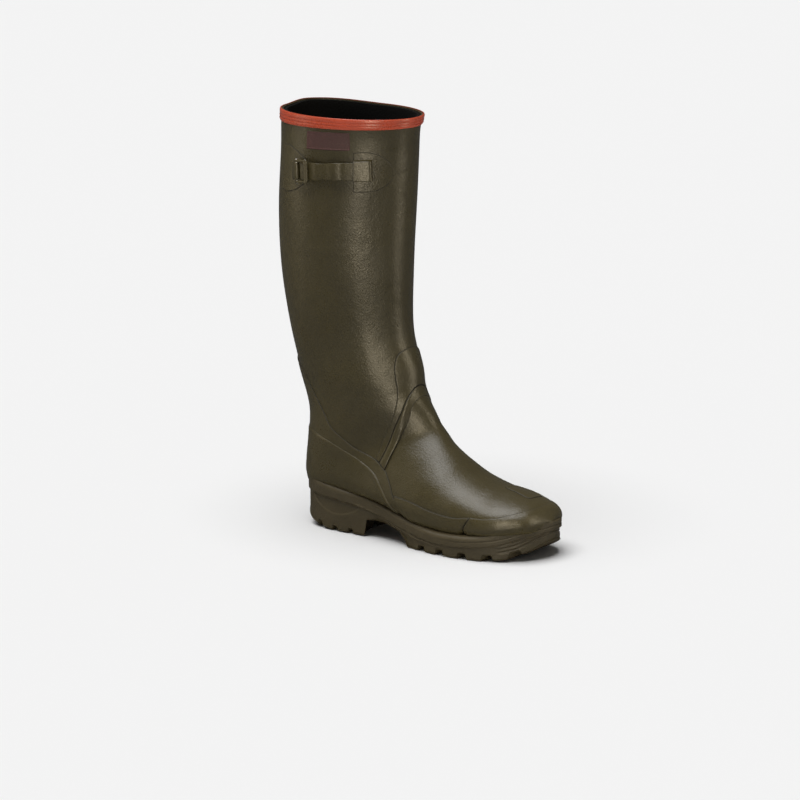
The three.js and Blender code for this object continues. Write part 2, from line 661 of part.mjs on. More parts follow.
addPiece("leg_shell", rubber.intersect(behindSplit), OLIVE);
addPiece("vamp_shell", rubber.intersect(aheadOfSplit), OLIVE);
addPiece("leg_lining", legLining(), LINING_BLACK);
addPiece("foot_lining", footLining(), LINING_BLACK);
addPiece("toe_stiffener", toeStiffener(0), STIFFENER_WHITE);
addPiece("heel_stiffener", heelStiffener(0), STIFFENER_WHITE);
addPiece("heel_stay", heelStay(), OLIVE_OVERLAY);
addPiece("heel_cover", heelCover(), OLIVE_OVERLAY);
addPiece("ankle_front", ankleFront(), OLIVE_OVERLAY);
addPiece("instep_rib", instepRib(), OLIVE_OVERLAY);
addPiece("side_foxing_outer", sideFoxing(-1), OLIVE_OVERLAY);
addPiece("side_foxing_inner", sideFoxing(1), OLIVE_OVERLAY);
addPiece("toe_cap", toeCap(), OLIVE_OVERLAY);
addPiece("toe_patch", toePatch(), OLIVE_OVERLAY);
addPiece("top_band", topBand(), BAND_RED);
addPiece("label_patch", label(), LABEL_MAROON);
addPiece("outsole", outsole(), SOLE_RUBBER);
addPiece("midsole", midsole(), CORE_GREY);
addPiece("heel_core", heelCoreBlock(0), CORE_GREY);
addPiece("shank", shankBlock(0), STEEL);
addPiece("insole_board", insoleBoard(), BOARD_TAN);
addPiece("footbed", footbed(), CORE_GREY);
addPiece("strap_patch", strapPatch(), OLIVE_OVERLAY);
addPiece("buckle_patch", bucklePatch(), OLIVE_OVERLAY);

boot.add(strapGroup);
const strapEnds = [STRAP_STANDOFF, STRAP_STANDOFF + STRAP_THICKNESS, STRAP_HEIGHT];
addPiece("strap", strapBand(STRAP_FROM, STRAP_TO, ...strapEnds), OLIVE, strapGroup);

const buckle = new THREE.Group();
const buckleTurn = THREE.MathUtils.degToRad(BUCKLE_AT);
buckle.rotation.z = buckleTurn;
buckle.position.set(STRAP_RADIUS * Math.sin(buckleTurn), -STRAP_RADIUS * Math.cos(buckleTurn), 0);
strapGroup.add(buckle);
addPiece("buckle_frame", buckleFrame(), OLIVE_OVERLAY, buckle);
addPiece("buckle_bar", buckleBar(), STEEL, buckle);
addPiece("buckle_chape", buckleChape(), OLIVE_OVERLAY, buckle);

// The origin is under the middle of the boot, on the ground.
const bounds = new THREE.Box3().setFromObject(boot);
const middle = bounds.getCenter(new THREE.Vector3());
boot.position.set(-middle.x, -middle.y, -bounds.min.z);

export default boot;
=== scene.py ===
"""Insulated rubber boot: fine surfaces, procedural materials and a studio, round the CAD frame."""
import json
import math

import bmesh
import bpy
import numpy as np
from mathutils import Matrix, Vector
from mathutils.bvhtree import BVHTree


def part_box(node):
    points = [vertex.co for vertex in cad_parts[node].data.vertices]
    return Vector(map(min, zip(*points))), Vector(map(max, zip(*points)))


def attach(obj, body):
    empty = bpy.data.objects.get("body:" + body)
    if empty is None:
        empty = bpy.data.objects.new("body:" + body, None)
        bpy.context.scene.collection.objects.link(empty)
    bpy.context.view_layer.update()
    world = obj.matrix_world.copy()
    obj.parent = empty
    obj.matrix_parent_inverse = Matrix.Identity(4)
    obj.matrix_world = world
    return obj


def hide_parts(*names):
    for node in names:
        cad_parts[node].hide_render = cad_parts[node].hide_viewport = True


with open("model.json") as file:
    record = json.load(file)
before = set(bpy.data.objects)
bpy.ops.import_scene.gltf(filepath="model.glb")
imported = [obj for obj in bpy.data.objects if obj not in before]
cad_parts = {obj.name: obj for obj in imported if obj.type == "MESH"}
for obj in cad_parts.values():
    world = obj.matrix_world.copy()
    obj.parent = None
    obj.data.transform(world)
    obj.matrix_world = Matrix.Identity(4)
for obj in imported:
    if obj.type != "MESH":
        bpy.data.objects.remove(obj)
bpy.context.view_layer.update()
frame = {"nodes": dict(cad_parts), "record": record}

# ---------------------------------------------------------------- driving dimensions, in millimetres

MM = 0.001
RUBBER = 2.0  # wall of the leg and of the vamp
GAP = 0.3
LINING = 4.0
OVERLAY = 1.2  # moulded reinforcements
SUNK = 0.2  # how far the edge of an overlay dips into what it lies on
SHEET_STEP = 2.2  # distance between rings of corners
RIM_PITCH = 26.0  # height between the first two sections
LINING_END = 17.4  # section where the room for the toes ends
ANKLE = 7.0  # section where the leg sleeve ends
RIM_RISE = 3.4  # how much higher the rim stands at its rear inner quarter
FLUTE_DEPTH, FLUTE_ANGLE, FLUTE_WIDTH = 1.5, 0.62, 0.3  # shallow groove down the front of the leg
DEEP = 9.0  # the attribute "edge" where no edge is near
PLAIN_EDGE = 1.0  # rounding of the reinforcements' edges
RIB_HEIGHT, RIB_EDGE = 2.6, 3.4
TOE_FILL = 2.2  # extra rubber at the foot of the rands of the forefoot

# Cross-sections of the outer rubber surface, within 3 mm of the CAD's, from the rim to the tip of
# the toe: front x and z, back x and z, outer and inner half width, ridge y, widest place, squareness.
SECTIONS = np.array([
    [135, 431, -23.5, 431, 55.5, 55.5, 0, 0.5, 2],
    [130.5, 405, -24.5, 400, 55, 55, 0, 0.5, 2],
    [126.5, 339, -27, 336, 57, 57, 0, 0.48, 2],
    [124.5, 272, -24, 273, 55, 55, 0, 0.48, 2],
    [125.5, 211, -16, 214, 49, 49, 0, 0.48, 2],
    [137, 172, -4, 164, 45, 45, 0, 0.48, 2],
    [141, 154, 9, 125, 42, 42, 0, 0.48, 2.1],
    [148.5, 142, 9.5, 95, 40.5, 40.5, 0, 0.46, 2.2],
    [155, 134, 7, 66, 39, 39, 0, 0.42, 2.3],
    [160, 127, 8, 50, 38, 38, 0, 0.4, 2.5],
    [165, 119, 18, 42, 38, 38, 0, 0.38, 3],
    [172, 111, 60, 41, 40, 38, 0, 0.34, 3.2],
    [182, 101, 110, 37, 43, 40, -2, 0.32, 3.2],
    [197, 89, 155, 26, 48, 43, -2, 0.34, 3.2],
    [215, 76, 200, 21, 50, 46, 0, 0.36, 3.2],
    [239, 67, 235, 21, 49, 47, 2, 0.38, 3],
    [261, 62, 261, 23, 46, 46, 4, 0.4, 2.8],
    [280, 56, 280, 28, 36.5, 36.5, 6, 0.42, 2.7],
    [290.5, 48.5, 290.5, 31, 24, 24, 7, 0.48, 2.4],
    [296, 38, 296, 38, 0, 0, 7, 0.5, 2],
], dtype=float)
TIP = len(SECTIONS) - 1
TOE_END = TIP - 0.004  # the last ring of corners, a fraction of a millimetre round

# The heel core's low corner, in the axes of these lists, gives the place of those axes in the frame.
HEEL_CORE_CORNER = np.array([26.0, -21.0, 9.0])
HEEL_CORE_HALF = np.array([31.0, 21.0])  # half its length and width
HEEL_CORE_MIDDLE = HEEL_CORE_CORNER[:2] + HEEL_CORE_HALF
ORIGIN = np.array(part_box("heel_core")[0]) / MM - HEEL_CORE_CORNER

# Plan of the sole, clockwise from the back of the heel along the outer side, and its side view.
SOLE_PLAN = [
    [7, 0], [11, -16], [22, -29], [39, -36.5], [62, -39], [95, -39], [125, -41], [155, -46.5],
    [190, -53], [225, -52.5], [255, -45], [280, -29], [295, -9], [300.5, 10], [295, 30], [279, 46],
    [245, 54], [205, 52.5], [160, 44], [115, 38], [62, 39], [39, 36.5], [22, 29], [11, 16],
]
SOLE_TOP = [
    [0, 52], [20, 50.5], [60, 46.5], [110, 39.5], [155, 29], [190, 24], [215, 23.5],
    [240, 25], [265, 29], [285, 34], [310, 41],
]
SOLE_BOTTOM = [
    [0, 34], [5, 20], [10, 9], [18, 2.5], [26, 0], [98, 0], [101.5, 17], [112, 19], [125, 19],
    [147, 13.5], [155, 6], [158, 0], [250, 0], [268, 1.5], [280, 5], [290, 11], [300, 19], [310, 27],
]
FLOOR = [
    [0, 53], [6, 50], [18, 42], [60, 41], [110, 37], [155, 26], [200, 21], [235, 21], [261, 23],
    [284, 29.5], [310, 44],
]
MIDSOLE_BOTTOM = [[0, 37], [60, 33], [110, 30], [152, 17.5], [200, 12.5], [240, 12.5], [268, 15], [310, 25]]

# Side-view lines of the reinforcements, [x, z], the same on both sides of the boot.
STAY_TOP = [
    [-12, 180], [7, 170], [19, 161], [33, 143], [48, 124], [58, 110], [71, 101], [88, 91],
    [110, 84], [124, 76], [128, 73], [136, 62], [142, 50],
]
COVER_TOP = [[-10, 107], [40, 99], [80, 85], [110, 72], [123, 60], [134, 46]]
ANKLE_REAR = [
    [138, 199.5], [130, 196.5], [125, 190], [124, 180], [126, 167], [129, 154], [129.5, 139],
    [126, 123], [118, 103], [112, 84],
]
RIB_REAR = [[150, 168], [140, 158], [135.5, 134], [129, 114.5], [123, 96.5], [117, 80]]
RIB_FRONT = [[151, 160], [144, 143], [142.5, 125.5], [136.5, 108], [130, 88.5], [125.5, 74]]
FOXING_TOP = [[142, 52], [154, 51], [168, 49], [187, 44.5], [202, 42], [218, 41], [236, 43.5]]
CAP_REAR = [[236, 43.5], [229, 33], [224.5, 20]]
CAP_TOP = [[236, 43.5], [250, 43.5], [265, 46], [276, 49.5], [290, 53], [310, 56]]
SHELL_SPLIT = [
    [172, 176], [146, 156], [140, 137], [136, 117], [129.5, 98], [122, 79], [130, 52], [136, 0],
]

# ---------------------------------------------------------------- curves


def catmull(rows, at):
    """Uniform Catmull-Rom through rows, with mirrored ends, at the places at."""
    rows = np.asarray(rows, dtype=float)
    padded = np.vstack([2 * rows[0] - rows[1], rows, 2 * rows[-1] - rows[-2]])
    i = np.clip(np.floor(at).astype(int), 0, len(rows) - 2)
    t = (at - i)[:, None]
    a, b, c, d = (padded[i + k] for k in range(4))
    square, cube = 2 * a - 5 * b + 4 * c - d, 3 * b - a - 3 * c + d
    return 0.5 * (2 * b + (c - a) * t + square * t**2 + cube * t**3)


def smooth_line(points, steps=8):
    """The points of a smooth curve through a side-view line."""
    at = np.linspace(0, len(points) - 1, (len(points) - 1) * steps + 1)
    return catmull(points, at)


def height_on(line, x):
    line = np.asarray(line, dtype=float)
    return np.interp(x, line[:, 0], line[:, 1])


def smoothstep(low, high, value):
    t = np.clip((value - low) / (high - low), 0, 1)
    return t * t * (3 - 2 * t)


# ---------------------------------------------------------------- surface of the boot


def section_growth():
    """How each number of a section grows with each millimetre that the surface moves outwards."""
    growth = np.zeros_like(SECTIONS)
    for i in range(TIP):
        before = SECTIONS[max(i - 1, 0)]
        after = SECTIONS[i + 1]
        front = np.array([before[1] - after[1], after[0] - before[0]])
        back = np.array([after[3] - before[3], before[2] - after[2]])
        growth[i, 0:2] = front / np.linalg.norm(front)
        growth[i, 2:4] = back / np.linalg.norm(back)
        growth[i, 4:6] = 1
    growth[0, 0:4] = [1, 0, -1, 0]
    growth[TIP, 0] = growth[TIP, 2] = 1
    return growth


GROWTH = section_growth()


def relief(at, angle):
    """Soft unevenness of the rubber: a shallow flute down the front of the leg, and low waves."""
    leg = smoothstep(0.25, 1.2, at) * (1 - smoothstep(4.5, 6, at))
    wrapped = np.angle(np.exp(1j * (angle - FLUTE_ANGLE)))
    flute = -FLUTE_DEPTH * np.exp(-((wrapped / FLUTE_WIDTH) ** 2))
    waves = 0.5 * np.sin(3 * angle + 1.7 * at) + 0.32 * np.sin(5 * angle - 2.3 * at + 1)
    foot = smoothstep(9, 11, at) * (1 - smoothstep(15.5, 17.5, at))
    ripples = 0.25 * np.sin(4 * angle + 2.1 * at) * foot
    return leg * (flute + waves) + ripples


def surface(params, out):
    """Points at the places [section, angle] of params, out millimetres from the outer rubber surface."""
    at, angle = params[:, 0], params[:, 1]
    out = np.broadcast_to(out, at.shape) + relief(at, angle)
    row = catmull(SECTIONS, at) + catmull(GROWTH, at) * out[:, None]
    fx, fz, bx, bz, outer, inner, ridge, widest, squareness = row.T
    along, across = np.cos(angle), np.sin(angle)
    forward = along > 0
    power = np.where(forward, 1.0, 2 / squareness)
    reach = np.abs(along) ** power
    half = np.maximum(np.where(across > 0, outer, inner), 0)
    raised = RIM_RISE * smoothstep(0.0, 0.95, -along) * smoothstep(-0.1, 0.4, -across)
    raised = raised * (1 - smoothstep(0, 1.3, at))
    mid_x, mid_z = bx + (fx - bx) * widest, bz + (fz - bz) * widest
    end_x, end_z = np.where(forward, fx, bx), np.where(forward, fz, bz)
    y = ridge - np.sign(across) * half * np.abs(across) ** power
    return np.column_stack([mid_x + (end_x - mid_x) * reach, y, mid_z + (end_z - mid_z) * reach + raised])


def normals(params):
    small = 1e-3
    along = surface(params + [small, 0], 0) - surface(params - [small, 0], 0)
    around = surface(params + [0, small], 0) - surface(params - [0, small], 0)
    normal = np.cross(along, around)
    return normal / np.maximum(np.linalg.norm(normal, axis=1), 1e-9)[:, None]


def stations(start, end, step=SHEET_STEP):
    """Sections from start to end, about step millimetres apart where they are furthest apart."""
    fine = np.linspace(start, end, int((end - start) * 60) + 2)
    travel = np.zeros(len(fine))
    for angle in (0.0, math.pi / 2, math.pi, 1.5 * math.pi):
        points = surface(np.column_stack([fine, np.full(len(fine), angle)]), 0)
        moved = np.linalg.norm(np.diff(points, axis=0), axis=1)
        travel[1:] = np.maximum(travel[1:], moved)
    length = np.cumsum(travel)
    count = max(int(length[-1] / step), 2)
    return np.interp(np.linspace(0, length[-1], count + 1), length, fine)


FINE = 264  # corners round a section for the finer pieces


def turns(count=216, start=0.0, end=2 * math.pi):
    """Angles round a section, closer together at the corners of its squarer back half."""
    t = np.linspace(0, 1, count // 4 + 1)
    bend = 1.4
    eased = t**bend / (t**bend + (1 - t) ** bend)
    quarter = math.pi / 2
    parts = [t * quarter, quarter + eased[1:] * quarter, 2 * quarter + eased[1:] * quarter]
    parts.append(3 * quarter + t[1:] * quarter)
    angles = np.concatenate(parts)
    return angles[(angles >= start - 1e-9) & (angles <= end + 1e-9)]


# ---------------------------------------------------------------- sheets cut along lines


def grid(ats, angles):
    rows, columns = len(ats), len(angles)
    params = np.column_stack([np.repeat(ats, columns), np.tile(angles, rows)])
    corner = (np.arange(rows - 1)[:, None] * columns + np.arange(columns - 1)).ravel()
    first = np.column_stack([corner, corner + columns, corner + columns + 1])
    second = np.column_stack([corner, corner + columns + 1, corner + 1])
    return params, np.vstack([first, second])


def crossing(params, field, level, edges, values):
    """Where a field crosses a level along edges, found by false position."""
    low, high = params[edges[:, 0]], params[edges[:, 1]]
    t_low, t_high = np.zeros(len(edges)), np.ones(len(edges))
    v_low, v_high = values[edges[:, 0]].copy(), values[edges[:, 1]].copy()
    for _ in range(4):
        t = t_low + (t_high - t_low) * v_low / (v_low - v_high)
        middle = low + (high - low) * t[:, None]
        value = field(middle) - level
        same = np.sign(value) == np.sign(v_low)
        t_low, v_low = np.where(same, t, t_low), np.where(same, value, v_low)
        t_high, v_high = np.where(same, t_high, t), np.where(same, v_high, value)
        flat = np.abs(v_low - v_high) < 1e-9
        v_high = np.where(flat, v_low + 1e-9, v_high)
    return middle


def cut(params, faces, field, level):
    """Splits the faces of a sheet where a field crosses a level, so that no face lies on both sides."""
    values = field(params) - level
    values[np.abs(values) < 2e-3] = 0
    signs = np.sign(values).astype(int)
    corner_signs = signs[faces]
    split = (corner_signs.min(axis=1) < 0) & (corner_signs.max(axis=1) > 0)
    if not split.any():
        return params, faces
    torn = faces[split]
    edges = np.sort(np.vstack([torn[:, [0, 1]], torn[:, [1, 2]], torn[:, [2, 0]]]), axis=1)
    edges = np.unique(edges, axis=0)
    edges = edges[signs[edges[:, 0]] * signs[edges[:, 1]] < 0]
    added = {(int(a), int(b)): len(params) + i for i, (a, b) in enumerate(edges)}
    points = crossing(params, field, level, edges, values)

    def on(a, b):
        return added[(min(a, b), max(a, b))]

    pieces = []
    for face in torn.tolist():
        marks = [signs[v] for v in face]
        if 0 in marks:
            k = marks.index(0)
            a, b, c = face[k], face[(k + 1) % 3], face[(k + 2) % 3]
            pieces += [[a, b, on(b, c)], [a, on(b, c), c]]
            continue
        k = next(i for i in range(3) if marks[i] * marks[i - 1] < 0 and marks[i] * marks[i - 2] < 0)
        a, b, c = face[k], face[(k + 1) % 3], face[(k + 2) % 3]
        pieces += [[a, on(a, b), on(a, c)], [on(a, b), b, c], [on(a, b), c, on(a, c)]]
    return np.vstack([params, points]), np.vstack([faces[~split], np.array(pieces)])


def keep(params, faces, field):
    """The faces of a sheet that lie where a field is positive."""
    return faces[field(params)[faces].mean(axis=1) > 0]


def welded(params, faces):
    """Joins the two columns of corners where a full turn closes, and drops unused corners."""
    turn = np.round(np.mod(params[:, 1] + 1e-7, 2 * math.pi), 5)
    key = np.column_stack([np.round(params[:, 0], 5), turn])
    _, first, same = np.unique(key, axis=0, return_index=True, return_inverse=True)
    faces = first[same.ravel()][faces]
    faces = faces[(faces != np.roll(faces, 1, axis=1)).all(axis=1)]
    used, packed = np.unique(faces, return_inverse=True)
    return params[used], packed.reshape(faces.shape)


def boundary(faces):
    """Directed edges that only one face has."""
    edges = np.vstack([faces[:, [0, 1]], faces[:, [1, 2]], faces[:, [2, 0]]])
    held = {(a, b) for a, b in edges.tolist()}
    return [(a, b) for a, b in held if (b, a) not in held]


def polygon_distance(points, outline):
    """Distance from a closed outline in the side view, positive inside, and its direction."""
    outline = np.asarray(outline, dtype=float)
    start, end = outline, np.roll(outline, -1, axis=0)
    side = end - start
    best = np.full(len(points), 1e9)
    toward = np.zeros((len(points), 2))
    inside = np.zeros(len(points), dtype=bool)
    for a, s in zip(start, side):
        offset = points - a
        t = np.clip((offset @ s) / max(s @ s, 1e-9), 0, 1)
        gap = offset - t[:, None] * s
        reach = np.hypot(gap[:, 0], gap[:, 1])
        nearer = reach < best
        best = np.where(nearer, reach, best)
        toward[nearer] = gap[nearer]
        b = a + s
        spans = (a[1] > points[:, 1]) != (b[1] > points[:, 1])
        rise = s[1] if abs(s[1]) > 1e-9 else 1e-9
        inside ^= spans & (points[:, 0] < a[0] + (points[:, 1] - a[1]) / rise * s[0])
    toward /= np.maximum(best, 1e-6)[:, None]
    return np.where(inside, best, -best), toward


def outline_field(outline):
    """Field of a side-view outline on the surface: distance from its edge as measured on the surface."""

    def field(params):
        points = surface(params, 0)
        distance, toward = polygon_distance(points[:, [0, 2]], outline)
        normal = normals(params)
        facing = toward[:, 0] * normal[:, 0] + toward[:, 1] * normal[:, 2]
        return distance / np.maximum(np.sqrt(np.maximum(1 - facing**2, 0)), 0.35)

    return field


def add_object(name, points, faces, edge=DEEP):
    """A mesh object from millimetre points in these axes, with each corner's distance to an edge."""
    mesh = bpy.data.meshes.new(name)
    mesh.from_pydata(((points + ORIGIN) * MM).tolist(), [], faces)
    # The materials read this distance: the rubber paints shade near an edge, and the label draws its
    # stitched line.
    layer = mesh.attributes.new("edge", "FLOAT", "POINT")
    layer.data.foreach_set("value", np.full(len(points), edge, dtype=np.float32))
    mesh.update()
    obj = bpy.data.objects.new(name, mesh)
    bpy.context.scene.collection.objects.link(obj)
    return obj


def finish_mesh(obj, sharp=50):
    """Cleans a mesh, turns its faces outwards and shades it smooth except at sharp edges."""
    work = bmesh.new()
    work.from_mesh(obj.data)
    bmesh.ops.remove_doubles(work, verts=work.verts, dist=2e-6)
    bmesh.ops.dissolve_degenerate(work, edges=work.edges, dist=1e-7)
    bmesh.ops.recalc_face_normals(work, faces=work.faces)
    if work.calc_volume(signed=True) < 0:
        bmesh.ops.reverse_faces(work, faces=work.faces)
    work.to_mesh(obj.data)
    work.free()
    for polygon in obj.data.polygons:
        polygon.use_smooth = True
    obj.data.set_sharp_from_angle(angle=math.radians(sharp))


def rounding(distance, width):
    """Quarter-round profile: 0 at the edge, 1 from width inwards."""
    t = np.clip(distance / width, 0, 1)
    return np.sqrt(np.maximum(1 - (1 - t) ** 2, 0))


def wall_piece(name, params, faces, outer, inner, edge=DEEP, floor=None):
    """Closed solid between two offsets of the surface, each a number or an array."""
    top, bottom = surface(params, outer), surface(params, inner)
    if floor:
        top[:, 2] = np.maximum(top[:, 2], height_on(FLOOR, top[:, 0]) + floor[0])
        bottom[:, 2] = np.maximum(bottom[:, 2], height_on(FLOOR, bottom[:, 0]) + floor[1])
    count = len(params)
    sides = [(b, a, a + count, b + count) for a, b in boundary(faces)]
    skin = faces.tolist() + (faces[:, ::-1] + count).tolist() + sides
    obj = add_object(name, np.vstack([top, bottom]), skin, np.tile(np.broadcast_to(edge, count), 2))
    finish_mesh(obj)
    return obj


def overlay_piece(
        name, field, ats, angles, height, width=PLAIN_EDGE, base=0.0, levels=(), shape=None, soft=0.0):
    """A moulded reinforcement: the part of the surface inside a field, with a rounded edge."""
    params, faces = grid(ats, angles)
    steps = [0.0, 0.04 * width, 0.16 * width, 0.4 * width, width] + list(levels)
    for level in steps:
        params, faces = cut(params, faces, field, level)
    faces = keep(params, faces, field)
    params, faces = welded(params, faces)
    distance = np.maximum(field(params), 0)
    rise = (height + SUNK) * rounding(distance, width)
    if shape:
        rise = rise + shape(params, distance)
    # The edge attribute, moved inwards by soft, sets the painted shade that the rubber material puts along
    # this piece's edge.
    return wall_piece(name, params, faces, base - SUNK + rise, base - 2 * SUNK, distance + soft)


def between(upper, lower):
    """Outline of everything between two side-view lines that run the same way."""
    return [list(p) for p in upper] + [list(p) for p in reversed(list(lower))]


# ---------------------------------------------------------------- shells and linings

FAR = 700  # beyond the boot in any direction


def split_field(params):
    """Positive behind the line where the leg shell meets the vamp shell."""
    outline = [[-FAR, -FAR], [-FAR, FAR], [SHELL_SPLIT[0][0], FAR]] + SHELL_SPLIT
    outline += [[SHELL_SPLIT[-1][0], -FAR]]
    return polygon_distance(surface(params, 0)[:, [0, 2]], outline)[0]


def ahead_field(params):
    return -split_field(params)


def shell(name, field, start, end):
    ats = stations(start, end)
    params, faces = grid(ats, turns())
    params, faces = cut(params, faces, field, 0.0)
    params, faces = welded(params, keep(params, faces, field))
    return wall_piece(name, params, faces, 0.0, -RUBBER)


def make_shells():
    return {
        "leg_shell": shell("leg_shell_skin", split_field, 0.0, 14.0),
        "vamp_shell": shell("vamp_shell_skin", ahead_field, 4.0, TOE_END),
    }


def make_linings():
    """Leg sleeve with a soft upper edge, and foot sock with pockets for the two stiffeners."""
    outside = -(RUBBER + GAP)
    inside = outside - LINING
    params, faces = welded(*grid(stations(0.03, ANKLE - 0.02, 3.0), turns(168)))
    drop = params[:, 0] * RIM_PITCH
    soft = 1.2 * (1 - rounding(drop, 3.0))
    leg = wall_piece("leg_lining_knit", params, faces, outside - soft * 0.3, inside + soft)
    params, faces = welded(*grid(stations(ANKLE + 0.02, LINING_END, 3.0), turns(168)))
    points = surface(params, 0)
    toe = smoothstep(244, 246, points[:, 0]) * smoothstep(35, 37, points[:, 2])
    heel = (1 - smoothstep(74, 78, points[:, 0])) * smoothstep(52, 54, points[:, 2])
    heel = heel * (1 - smoothstep(88, 90, points[:, 2]))
    pocket = 1.8 * np.maximum(toe, heel)
    floor = (RUBBER + 2 + 2 * GAP, RUBBER + LINING + GAP)
    foot = wall_piece("foot_lining_knit", params, faces, outside - pocket, inside, floor=floor)
    return {"leg_lining": leg, "foot_lining": foot}


# ---------------------------------------------------------------- reinforcements


def forefoot(x):
    """Where the rands are filled out to the sole: 0 behind the waist, 1 ahead of it."""
    return smoothstep(146, 165, x)


def foot_fill(params, distance):
    """Extra rubber that brings the foot of a rand out to the sole."""
    points = surface(params, 0)
    above = points[:, 2] - height_on(SOLE_TOP, points[:, 0])
    return TOE_FILL * (1 - smoothstep(-1, 13, above)) * smoothstep(0, 7, distance) * forefoot(points[:, 0])


def above_stay(field):
    """A field kept to what lies above the heel stay, and a little way under it."""
    cover = outline_field(between([[-FAR, FAR], [FAR, FAR]], smooth_line(STAY_TOP).tolist() + [[FAR, 50]]))
    return lambda params: np.minimum(field(params), cover(params) + 1.4)


def make_overlays():
    pieces = {}
    stay_outline = between(smooth_line(STAY_TOP), [[-30, 30], [170, 24]])
    pieces["heel_stay"] = overlay_piece(
        "heel_stay_overlay", outline_field(stay_outline), stations(4, 13), turns(), OVERLAY)
    cover_outline = between(smooth_line(COVER_TOP), [[-30, 30], [150, 26]])

    def lip(params, distance):
        x = surface(params, 0)[:, 0]
        return 0.7 * np.exp(-(((distance - 2.2) / 1.5) ** 2)) * smoothstep(85, 118, x)

    pieces["heel_cover"] = overlay_piece(
        "heel_cover_overlay", outline_field(cover_outline), stations(6, 13), turns(), 0.8, 3.4,
        base=OVERLAY, shape=lip, levels=[3.7], soft=0.6)
    ankle_outline = [[160, 201]] + between(smooth_line(ANKLE_REAR), smooth_line(RIB_REAR))
    pieces["ankle_front"] = overlay_piece(
        "ankle_front_overlay", above_stay(outline_field(ankle_outline)), stations(4, 12), turns(), 1.3)
    rib_outline = between(smooth_line(RIB_FRONT), smooth_line(RIB_REAR))

    def fading(params, distance):
        """The rib sinks into the surface towards the middle of the instep."""
        x = surface(params, 0)[:, 0]
        return -(RIB_HEIGHT - 0.5) * rounding(distance, RIB_EDGE) * smoothstep(134, 143, x)

    pieces["instep_rib"] = overlay_piece(
        "instep_rib_ridge", above_stay(outline_field(rib_outline)), stations(4.5, 12, 1.6), turns(FINE),
        RIB_HEIGHT, RIB_EDGE, shape=fading)
    foxing_outline = smooth_line(FOXING_TOP).tolist() + CAP_REAR[1:] + [[150, 14], [146, 30]]

    def foxing_bulge(params, distance):
        return 0.5 * smoothstep(0, 9, distance) + foot_fill(params, distance)

    for side, start, end in (("outer", 0.05, math.pi), ("inner", math.pi, 2 * math.pi - 0.05)):
        pieces["side_foxing_" + side] = overlay_piece(
            "side_foxing_" + side + "_rand", outline_field(foxing_outline), stations(11.5, 16),
            turns(FINE, start, end), 1.1, shape=foxing_bulge, levels=[4.0, 8.0])
    cap_outline = CAP_TOP + [[330, 56], [330, 10], [224.5, 10]] + CAP_REAR[::-1]

    def soft_top(params, distance):
        """The cap's upper edge blends into the vamp, while its rear edge stays a clear step."""
        x = surface(params, 0)[:, 0]
        drop = 0.9 * (1 - smoothstep(0, 7, distance)) * smoothstep(232, 243, x)
        return foot_fill(params, distance) - drop

    pieces["toe_cap"] = overlay_piece(
        "toe_cap_overlay", outline_field(cap_outline), stations(13.5, TOE_END), turns(FINE), 1.5,
        shape=soft_top, levels=[3.0, 5.0, 7.0])
    patch = rounded_rectangle(243, 275, 1, 29, 6)

    def plan_field(params):
        points = surface(params, 0)
        distance = polygon_distance(points[:, [0, 1]], patch)[0]
        return np.where(points[:, 2] > 45, distance, -DEEP)

    def dish(params, distance):
        return -0.45 * smoothstep(2.2, 3.2, distance)

    pieces["toe_patch"] = overlay_piece(
        "toe_patch_plain", plan_field, stations(14.5, 18, 1.2), turns(FINE), 0.9,
        shape=dish, levels=[2.2, 3.2])
    return pieces


def rounded_rectangle(x_low, x_high, y_low, y_high, radius, steps=6):
    """Closed outline with round corners, counterclockwise from the high end of x."""
    points = []
    corners = [(x_high, y_high, 0), (x_low, y_high, 90), (x_low, y_low, 180), (x_high, y_low, 270)]
    for x, y, start in corners:
        centre_x = x - math.copysign(radius, x - x_low - 1e-6)
        centre_y = y - math.copysign(radius, y - y_low - 1e-6)
        for k in range(steps + 1):
            angle = math.radians(start + 90 * k / steps)
            points.append([centre_x + radius * math.cos(angle), centre_y + radius * math.sin(angle)])
    return points


# ---------------------------------------------------------------- rim band and label

BAND_HEIGHT = 11.8
BAND_THICKNESS = 0.78  # factor on the profile's outward numbers


def ring_faces(rows, count, closed=False):
    """Faces between rings of count corners each, and from the last ring to the first if closed."""
    faces = []
    for i in range(rows if closed else rows - 1):
        step = count if i < rows - 1 else -i * count
        for k in range(count):
            a, b = i * count + k, i * count + (k + 1) % count
            faces.append([a, b, b + step, a + step])
    return faces


def make_band():
    """Red binding round the outside of the rim, with three soft ribs."""
    profile = [[-0.2, -0.6], [0.9, -0.7], [1.7, -0.4], [2.2, 0.6], [2.35, 2.0], [2.2, 3.2], [1.75, 3.8]]
    for top in (4.1, 7.4):
        profile += [[1.75, top], [2.25, top + 0.5], [2.5, top + 1.35], [2.25, top + 2.3], [1.75, top + 2.9]]
    profile += [[1.75, 10.6], [1.5, 11.3], [0.9, BAND_HEIGHT], [-0.2, BAND_HEIGHT]]
    angles = turns(288)
    count = len(angles) - 1
    points = []
    for out, drop in profile:
        places = np.column_stack([np.full(count, drop / RIM_PITCH), angles[:-1]])
        points.append(surface(places, out * BAND_THICKNESS))
    # The edge attribute is how far out each ring stands, so the band's material darkens it where it lies
    # close to the leg: painted shade.
    edge = np.repeat([abs(out) for out, _ in profile], count)
    band = add_object("top_band_binding", np.vstack(points), ring_faces(len(profile), count, True), edge)
    finish_mesh(band, sharp=60)
    return {"top_band": band}


def make_label():
    """Plain tab with a low border."""
    outline = [[40, 398], [40, 416], [89, 417.5], [89, 399.5]]

    def border(params, distance):
        return -0.16 * smoothstep(0.9, 1.3, distance)

    label = overlay_piece(
        "label_tab", outline_field(outline), stations(0.1, 2, 1.5),
        turns(FINE, 0.1, math.pi - 0.1), 0.55, 0.5,
        shape=border, levels=[0.9, 1.3])
    return {"label_patch": label}


# ---------------------------------------------------------------- sole

